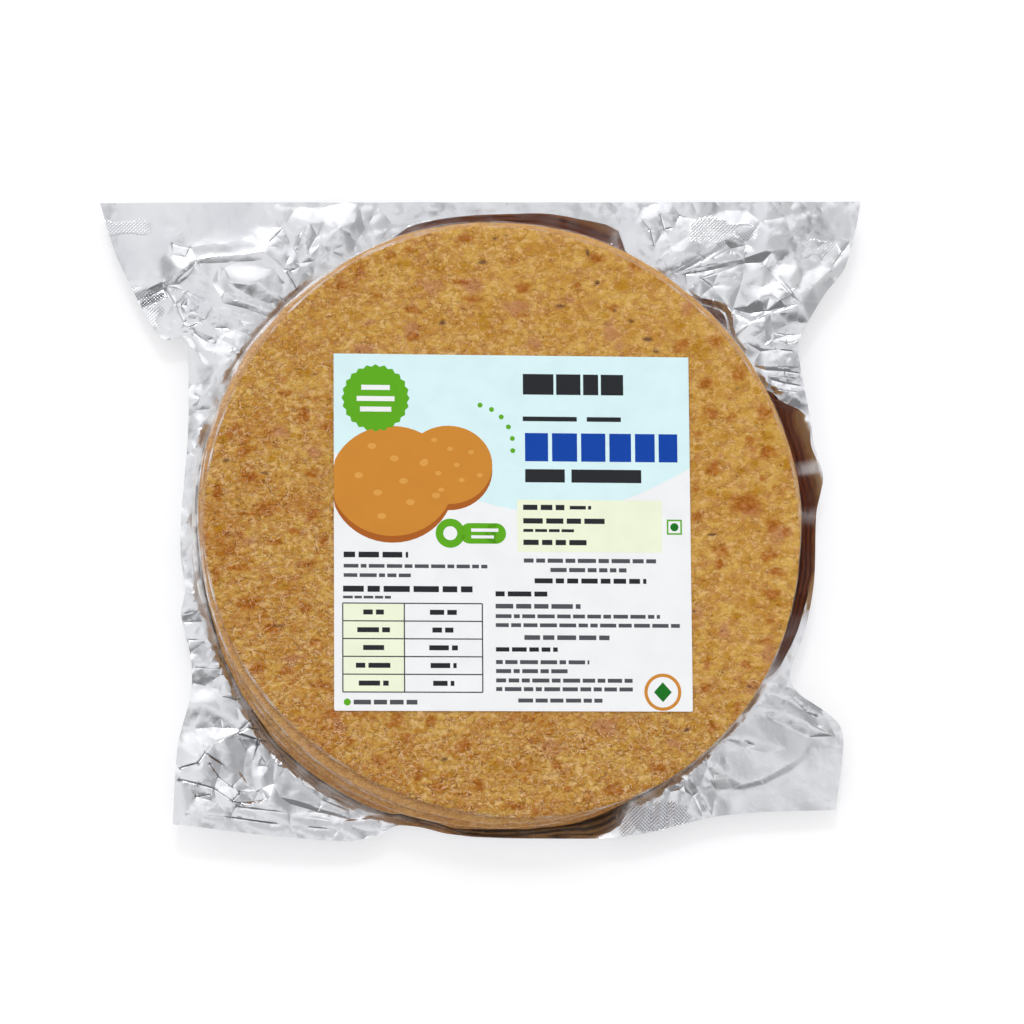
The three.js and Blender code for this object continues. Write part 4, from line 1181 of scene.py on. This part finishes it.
def foldNetwork(lines, step, high, clear, seed, reachX=124, reachY=106, calm=calmness):
    # flat facets between the drawn fold lines and seeded points
    draws = random.Random(seed)
    spots, levels, edges = [], [], []
    hx, hy, reach, left = foil["hush"]
    for line in lines:
        for n, (x, y, level) in enumerate(line):
            spots.append((x, y))
            kept = left + (1 - left) * smoothStep(math.dist((x, y), (hx, hy)) / reach - 0.5)
            levels.append(level * float(kept))
            if n:
                edges.append((len(spots) - 2, len(spots) - 1))
    taken = treeOf([p for line in lines for p in resample(line, 1.0)] or [(999, 999)])
    loose = [(x, y) for x, y in hexSpots(step, reachX, reachY, draws, 0.3)
             if taken.find((x, y, 0))[2] > clear]
    lively = calm(*np.array(loose).T)
    spots += loose
    levels += [draws.uniform(-1, 1) * high * share for share in lively]
    spots += [(-190, -170), (190, -170), (190, 170), (-190, 170)]
    levels += [0] * 4
    corners, joined, faces, sources, _, _ = delaunay_2d_cdt([Vector(p) for p in spots], edges, [], 0, 0.3)
    at, level = np.array([tuple(p) for p in corners]), np.array(levels)
    ends = np.array([(*spots[a], *spots[b], levels[a], levels[b]) for a, b in edges])
    heights = np.zeros(len(at))
    for n, ids in enumerate(sources):
        if ids:
            heights[n] = level[ids].mean()
        else:  # where two drawn lines cross
            ax, ay, bx, by, la, lb = ends.T
            t = np.clip(((at[n, 0] - ax) * (bx - ax) + (at[n, 1] - ay) * (by - ay))
                        / ((bx - ax) ** 2 + (by - ay) ** 2), 0, 1)
            away = np.hypot(at[n, 0] - ax - t * (bx - ax), at[n, 1] - ay - t * (by - ay))
            near = away < max(0.4, away.min() + 0.01)
            heights[n] = (la + (lb - la) * t)[near].mean()
    return {"at": at, "heights": heights, "faces": np.array([list(f) for f in faces]),
            "edges": np.array([list(e) for e in joined])}


def heightOver(network, x, y):
    # the facets' height at many points
    shape = x.shape
    x, y = x.ravel(), y.ravel()
    order = np.argsort(x)
    sortedX, sortedY = x[order], y[order]
    found = np.zeros(len(x))
    for face in network["faces"]:
        (ax, ay), (bx, by), (cx, cy) = network["at"][face]
        ha, hb, hc = network["heights"][face]
        low, high = np.searchsorted(sortedX, [min(ax, bx, cx) - 1e-6, max(ax, bx, cx) + 1e-6])
        px, py = sortedX[low:high], sortedY[low:high]
        whole = (by - cy) * (ax - cx) + (cx - bx) * (ay - cy)
        if not len(px) or abs(whole) < 1e-9:
            continue
        u = ((by - cy) * (px - cx) + (cx - bx) * (py - cy)) / whole
        v = ((cy - ay) * (px - cx) + (ax - cx) * (py - cy)) / whole
        inside = (u >= -1e-6) & (v >= -1e-6) & (u + v <= 1 + 1e-6)
        found[low:high][inside] = (ha * u + hb * v + hc * (1 - u - v))[inside]
    result = np.empty_like(found)
    result[order] = found
    return result.reshape(shape)


def softened(network, reachX, reachY, step, spread):
    # the same heights on a square grid, blurred
    x, y = np.arange(-reachX, reachX + step, step), np.arange(-reachY, reachY + step, step)
    gridX, gridY = np.meshgrid(x, y, indexing="ij")
    level = heightOver(network, gridX, gridY)
    reach = int(3 * spread / step)
    weights = np.exp(-0.5 * (np.arange(-reach, reach + 1) * step / spread) ** 2)
    weights /= weights.sum()
    for axis in (0, 1):
        level = np.apply_along_axis(
            lambda row: np.convolve(np.pad(row, reach, "edge"), weights, "valid"), axis, level)
    return {"step": step, "low": (-reachX, -reachY), "level": level}


def softOver(soft, x, y):
    level = soft["level"]
    u, v = (x - soft["low"][0]) / soft["step"], (y - soft["low"][1]) / soft["step"]
    i = np.clip(u.astype(int), 0, level.shape[0] - 2)
    j = np.clip(v.astype(int), 0, level.shape[1] - 2)
    u, v = np.clip(u - i, 0, 1), np.clip(v - j, 0, 1)
    return ((level[i, j] * (1 - u) + level[i + 1, j] * u) * (1 - v)
            + (level[i, j + 1] * (1 - u) + level[i + 1, j + 1] * u) * v)


def awayFrom(tree, x, y):
    # how far each point is from the nearest point of the tree
    return np.array([tree.find((px, py, 0))[2] for px, py in zip(x.ravel(), y.ravel())]).reshape(x.shape)


def edgesOf(network, reach=1000):
    # the network's edges within reach of the middle, as lines of two points
    lines = [[tuple(network["at"][n]) for n in pair] for pair in network["edges"]]
    return [line for line in lines if np.abs(line).max() < reach]


skirtFolds = foldNetwork(foldLines, foil["open"], foil["openHeight"], foil["clear"], 23)
softFolds = softened(skirtFolds, 124, 106, 0.5, foil["spread"])
foldTree = treeOf([p for line in edgesOf(skirtFolds, 140) for p in resample(line, 0.4)])
creaseTree = treeOf([p for line in foldLines for p in resample(line, 0.2)])


def creaseAt(x, y):
    # 0 to 1: the thin creases that come and go along the drawn folds
    directions, shares = zip(*foil["creased"])
    place = np.interp(np.degrees(np.arctan2(y, x)), directions, shares, period=360)
    comes = np.clip(0.2 + 1.5 * softNoise(x, y, 8, 77), 0, 1)
    return place * comes * np.maximum(0, 1 - awayFrom(creaseTree, x, y) / foil["beside"])


def skirtHeight(x, y):
    radius, angle = np.hypot(x, y), directionOf(x, y)
    out = radius - ringAt(angle, "wallRadius")
    share = out / (ringAt(angle, "edge") - ringAt(angle, "wallRadius"))
    base, edge = ringAt(angle, "wallHeight"), ringAt(angle, "edgeHeight")
    calm = calmness(x, y)
    crisp = foil["crisp"]
    pillow = foil["pillow"] * (1 - np.exp(-awayFrom(foldTree, x, y) / foil["round"]))
    (wave, waveCell), (ripple, rippleCell) = foil["waves"]
    (dent, dentCell), (pit, pitCell) = foil["dents"]
    shiver, shiverCell = foil["shiver"]
    dented = 0.35 + 0.65 * smoothStep(softNoise(x, y, 12, 76))
    folds = (crisp * heightOver(skirtFolds, x, y) + (1 - crisp) * softOver(softFolds, x, y) + calm * (
        pillow + wave * softNoise(x, y, waveCell, 71) + ripple * softNoise(y, x, rippleCell, 72)
        + (dent * facets(x, y, dentCell, 73) + pit * facets(y, x, pitCell, 75)) * dented)
        + shiver * softNoise(x, y, shiverCell, 74) - foil["crease"] * creaseAt(x, y))
    height = base + (edge - base) * smoothStep(share) + folds * smoothStep(out / foil["onset"])
    return np.maximum(height, 0.4) + foil["lift"] + foil["web"]


def sheetBetween(name, inner, outer, heightOf, lines, step, seed, creases=(), beside=0):
    # a triangulated sheet from one closed ring of points to another,
    # with mesh edges along the lines and points beside the creases
    draws = random.Random(seed)
    spots, edges, rings = [], [], []
    for ring in (inner, outer):
        start = len(spots)
        spots += [tuple(p) for p in ring]
        edges += [(start + n, start + (n + 1) % len(ring)) for n in range(len(ring))]
        rings.append((start, len(spots)))
    border = treeOf(spots)
    margin = 0.35  # how near to the border a point may lie

    def reachOf(ring, angle):
        turn = directionOf(*ring.T)
        order = np.argsort(turn)
        return roundInterp(angle, turn[order], np.hypot(*ring.T)[order])

    def within(points, margin):
        x, y = np.array(points).T
        radius, angle = np.hypot(x, y), directionOf(x, y)
        good = radius < reachOf(outer, angle) - margin
        if len(inner):
            good &= radius > reachOf(inner, angle) + margin
        return [g and border.find((px, py, 0))[2] > margin for g, px, py in zip(good, x, y)]

    drawn = []
    for line in lines:
        points = resample(line, step)
        good = within(points, margin)
        for n, point in enumerate(points):
            if good[n]:
                spots.append(point[:2])
                drawn.append(point[:2])
                if n and good[n - 1]:
                    edges.append((len(spots) - 2, len(spots) - 1))
    taken = treeOf(drawn or [(999, 999)])
    for line in creases:
        points = resample(line, step * 0.7)
        for a, b in zip(points, points[1:]):
            dx, dy = b[0] - a[0], b[1] - a[1]
            far = beside / max(math.hypot(dx, dy), 1e-6)
            middle = (a[0] + b[0]) / 2, (a[1] + b[1]) / 2
            pair = [(middle[0] - dy * far, middle[1] + dx * far), (middle[0] + dy * far, middle[1] - dx * far)]
            for point, good in zip(pair, within(pair, margin)):
                if good and taken.find((*point, 0))[2] > beside * 0.6:
                    spots.append(point)
                    drawn.append(point)
    taken = treeOf(drawn or [(999, 999)])
    reach = np.abs(outer).max(axis=0)
    loose = [p for p in hexSpots(step, *reach, draws, 0.16) if taken.find((*p, 0))[2] > step * 0.5]
    good = within(loose, step * 0.4)
    spots += [p for p, g in zip(loose, good) if g]
    corners, _, faces, sources, _, _ = delaunay_2d_cdt([Vector(p) for p in spots], edges, [], 0, 1e-4)
    at = np.array([tuple(p) for p in corners])
    first = np.array([min(ids) if ids else 10 ** 6 for ids in sources])
    kept = []
    for face in faces:
        ids = [first[n] for n in face]
        for which, (start, end) in enumerate(rings):
            if all(start <= n < end for n in ids):  # between points of one ring: inside it or outside
                a, b, c = sorted(ids)
                p, q, r = spots[a], spots[b], spots[c]
                turning = (q[0] - p[0]) * (r[1] - p[1]) - (q[1] - p[1]) * (r[0] - p[0])
                if (turning > 0) == (which == 0):
                    break
        else:
            kept.append(list(face))
    heights = heightOf(at[:, 0], at[:, 1])
    return newPiece(name, [(x * mm, y * mm, z * mm) for (x, y), z in zip(at, heights)], [], kept)


def foilFinish():
    finish = Finish("creased foil laminate", roughness=0.2, Metallic=1.0, Coat_Weight=0.35, Coat_Roughness=0.04)
    x, y, z = finish.axes()
    cloud = finish.noiseAt(6, 3).between(0.3, 0.75)
    finish.feed("Roughness", cloud * 0.1 + 0.14)
    # the fine cross-hatch pressed into the seals at the corners, with painted shade in its grooves
    knurl = ((x + y) * foil["knurl"]).sine().absolute().least(((x - y) * foil["knurl"]).sine().absolute())
    ragged = (cloud - 0.5) * 3
    mask = dark = 0
    for cx, cy, wide, tall, slope, shade in knurled:
        patch = (1 - (x + ragged - cx).absolute().between(wide * 0.6, wide)) * (
            1 - (y + ragged * (tall / 4) - cy - (x - cx) * slope).absolute().between(tall * 0.6, tall))
        mask = patch.most(mask)
        dark = (patch * shade).most(dark)
    tone = finish.noiseAt(14, 2).between(0.3, 0.7)
    colour = finish.mix(tone, foil["bright"], foil["dull"])
    # painted shade in the cross-hatch's grooves, near black in the narrow groove at the upper left
    colour = finish.mix(dark * (1 - knurl.between(0.15, 0.6) * 0.7), colour, foil["hatchShade"])
    # painted shade along the creases: a thin dark line on each drawn fold
    crease = finish.painted("crease")
    finish.feed("Base Color", finish.mix(crease.between(0.1, 0.9) * 0.85, colour, foil["creaseShade"]))
    grit = finish.noiseAt(1.2, 2, 0.5)
    satin = finish.noiseAt(3.5, 2, 0.5, 0.8)
    first = finish.bump(satin, 0.1, 0.5)
    second = finish.bump(grit, 0.03, 0.25, first)
    finish.feed("Normal", finish.bump(knurl * mask, 0.16, 0.9, second))
    return finish.material


def makeFoil():
    web = foil["web"]
    cx, cy = np.cos(rings["angle"]), np.sin(rings["angle"])
    foot, wallRadius, wallHeight, edge = (rings[key] for key in ("foot", "wallRadius", "wallHeight", "edge"))
    # the wall, from the foot up to the skirt
    steps = foil["wallSteps"]
    power = wallPower(foot, wallRadius)
    points = np.empty((steps + 1, len(cx) + 1, 3))
    for n in range(steps + 1):
        share = n / steps
        bend = wallHeight * share ** power
        high, cell = foil["ripple"]
        ripple = high * facets(rings["angle"] * 95, bend * 0.5, cell, 33) * math.sin(math.pi * share)
        radius = foot + (wallRadius - foot) * share + ripple
        height = foil["lift"] + web + bend
        points[n] = np.column_stack([np.append(v, v[0]) for v in (radius * cx, radius * cy, height)])
    wall = polarSheet("foil_wall", len(cx), steps + 1)
    placePoints(wall, points.reshape(-1, 3))
    # the flat back
    backFolds = foldNetwork([], 9, 0.5, 0, 31, 95, 95, lambda x, y: np.ones_like(x))

    def backHeight(x, y):
        inward = ringAt(directionOf(x, y), "foot") - np.hypot(x, y)
        dents = np.maximum(0, heightOver(backFolds, x, y) + 0.1 * facets(x, y, 3.4, 32))
        return foil["lift"] + web + dents * smoothStep(inward / 6)

    footRing = points[0, :-1, :2]
    none = np.empty((0, 2))
    back = sheetBetween("foil_base", none, footRing, backHeight, edgesOf(backFolds), foil["backFine"], 5)
    # the skirt
    wallTop = points[-1, :-1, :2]
    outside = np.column_stack([edge * cx, edge * cy])
    skirt = sheetBetween("foil_skirt", wallTop, outside, skirtHeight, edgesOf(skirtFolds), foil["fine"], 6,
                         foldLines, foil["beside"])
    x, y, z = (np.array([v.co[n] for v in skirt.data.vertices]) / mm for n in range(3))
    # the creases' mask, which also places the painted shade along them
    paint(skirt, "crease", creaseAt(x, y))
    # the flap's foot at the left runs level
    cut = foil["notch"]
    share = smoothStep((x - cut["from"]) / (cut["to"] - cut["from"]))
    away = np.hypot(np.minimum(0, cut["to"] + 2 - x), y - cut["y"])
    rise = cut["rise"] * share * (1 - smoothStep(away / cut["reach"]))
    rise = rise * (1 - smoothStep((x - cut["to"] - 1) / 6))
    skirt.data.vertices.foreach_set("co", (np.column_stack([x, y + rise, z]) * mm).ravel())
    skirt.data.update()
    piece = joinPieces([wall, back, skirt], "foil_web")
    closeSeams(piece, 2e-6)
    applyModifier(piece, "SOLIDIFY", thickness=web * mm, offset=-1)
    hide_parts("foil_back")
    finishPiece(piece, foilFinish(), foil["smooth"])


makeFoil()
print("foil made")

# The clear film

film = {
    "columns": 720, "faceRings": 50, "skirtRings": 8, "reach": 5.0,
    "gap": 0.1, "suck": 0.3,  # over the face and in between the rims
    "lip": 0.18, "below": (0.35, 0.9, 1.45),  # its lines past each rim, and how far down they lie
    "leave": 2.2, "sag": 0.12,  # where it leaves the rims for the foil, and how it hangs in between
    # how white and opaque it shows: a faint base and more when seen edge on; past each rim a line of painted
    # highlight, and where it bridges a painted sheen
    "thin": 0.002, "edgeOn": 0.14, "rims": 0.7, "bridge": 0.6,  # how milky it is
    # the share of that painted sheen where it bridges from the rims to the foil: direction in degrees, share
    "bridges": [(0, 0.03), (2, 0.4), (4, 0.03), (9.4, 0.03), (10.1, 0.75), (11.3, 0.75), (12.4, 0.03), (26, 0.03),
                (30, 0.6), (38, 0.6), (44, 0.1), (50, 0.7), (62, 0.7), (72, 0.08), (104, 0.08), (112, 0.6),
                (120, 0.2), (128, 1.0), (156, 1.2), (195, 1.1), (204, 0.35), (214, 0.5), (224, 0.4), (236, 0.5),
                (248, 0.35), (256, 0.1), (264, 0.05), (288, 0.05), (296, 0.6), (326, 0.9), (334, 0.3), (345, 0.03)],
}


def filmFinish():
    finish = Finish("clear film", roughness=0.08, Metallic=0.4)
    finish.shader.inputs["Base Color"].default_value = (1, 1, 1, 1)
    facing = finish.node("ShaderNodeLayerWeight", None, {"Blend": 0.5}, "Facing")
    filmSheen = finish.painted("filmSheen")
    # the painted sheen makes the film whiter and more opaque in places, standing in for its reflections
    finish.feed("Alpha", film["thin"] + (facing ** 4) * film["edgeOn"] + filmSheen)
    finish.feed("Normal", finish.bump(finish.noiseAt(2.4, 1), 0.25, 0.5))
    return finish.material


def makeFilm():
    turn = np.linspace(0, 2 * math.pi, film["columns"] + 1)
    cx, cy = np.cos(turn), np.sin(turn)
    rims = np.array([rimAt(index, turn) for index in range(stack["breads"])])
    wallRadius, wallHeight, edge = (ringAt(turn, key) for key in ("wallRadius", "wallHeight", "edge"))
    reach = np.minimum(film["reach"], (edge - wallRadius) * 0.96)
    landRadius = wallRadius + np.minimum(0.6, reach * 0.3)
    landHeight = wallHeight + foil["web"] + 0.35
    points, veils = [], []
    directions, shares = zip(*film["bridges"])
    sheenShare = np.interp(np.degrees(turn), directions, shares, period=360)

    def ring(radius, height, filmSheen=0):
        points.append(np.column_stack([radius * cx, radius * cy, height]))
        veils.append(np.zeros_like(turn) + filmSheen)

    topRim, crown = rims[-1], crownHeight(stack["breads"] - 1)
    for share in np.concatenate([np.linspace(0, 0.5, 6), np.linspace(0.5, 0.993, film["faceRings"] - 5)[1:]]):
        radius = topRim * share
        x, y = radius * cx, radius * cy
        pucker = 0.1 * np.abs(facets(turn * 91, radius * 0.35, 2.6, 51)) * smoothStep((share - 0.9) / 0.09)
        ring(radius, crown + film["gap"] + faceRelief(x, y) + pucker * underLabel(x, y))
    topHeight = points[-1][:, 2]
    line, under, tucked = film["below"]
    # down over each rim and sucked in between the breads
    rows = []
    for index in range(stack["breads"] - 1, -1, -1):
        top, rim, below = crownHeight(index), rims[index], rims[max(index - 1, 0)]
        if index < stack["breads"] - 1:
            topHeight = np.full_like(turn, top + 0.06)
            rows.append((rim - 0.35, topHeight, 0.1))
        aside = 0.16 * softNoise(rim * cx, rim * cy, 9, 110 + index)
        strength = smoothStep(0.5 + 1.1 * softNoise(rim * cx, rim * cy, 6, 120 + index))
        rimSheen = film["rims"] * (0.15 + 0.95 * strength)
        # a line of painted highlight along each rim, as a whiter, more opaque row of film
        rows.append((rim + film["lip"] + np.maximum(0, aside), topHeight - line + aside, rimSheen))
        rows.append((rim + film["lip"] + 0.02, topHeight - under, 0.12))
        tuck = film["suck"] * (0.7 + 0.6 * softNoise(rim * cx, rim * cy, 7, 80 + index))
        rows.append((np.minimum(rim, below) - tuck, np.full_like(turn, top - tucked), 0.05))
    # the rows below the foil's wall top span the gap instead
    leave = landHeight + film["leave"]
    spanned = np.array([height < leave for _, height, _ in rows])
    count = spanned.sum(axis=0)
    last = len(rows) - count - 1
    every = np.arange(len(turn))
    fromRadius = np.array([radius for radius, _, _ in rows])[last, every]
    fromHeight = np.array([height for _, height, _ in rows])[last, every]
    for n, (radius, height, lined) in enumerate(rows):
        share = np.clip((n - last) / (count + 1), 0, 1)
        sag = film["sag"] * 4 * share * (1 - share)
        ring(np.where(spanned[n], fromRadius + (landRadius - fromRadius) * share, radius),
             np.where(spanned[n], fromHeight + (landHeight - fromHeight) * share - sag, height),
             np.where(spanned[n], film["bridge"] * sheenShare * smoothStep(share * 1.6), lined * (0.35 + sheenShare * 0.65)))
    uneven = 1 + 0.8 * softNoise(landRadius * cx, landRadius * cy, 5, 130)
    ring(landRadius, landHeight, film["bridge"] * sheenShare * uneven)
    for step in np.linspace(0, 1, film["skirtRings"] + 1)[1:]:
        radius = landRadius + (wallRadius + reach - landRadius) * step
        height = skirtHeight(radius * cx, radius * cy) + 0.35 * (1 - step) + 0.05
        ring(radius, height, film["bridge"] * sheenShare * (1 - step) ** 2)
    piece = polarSheet("clear_film", film["columns"], len(points))
    placePoints(piece, np.concatenate(points))
    x, y = np.concatenate(points)[:, :2].T
    patchy = 0.35 + 0.65 * smoothStep(0.5 + 0.9 * softNoise(x, y, 3.2, 95) + 0.4 * softNoise(x, y, 1.4, 96))
    paint(piece, "filmSheen", np.concatenate(veils) * patchy)
    closeSeams(piece)
    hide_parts("clear_front")
    finishPiece(piece, filmFinish())


makeFilm()
print("film made")
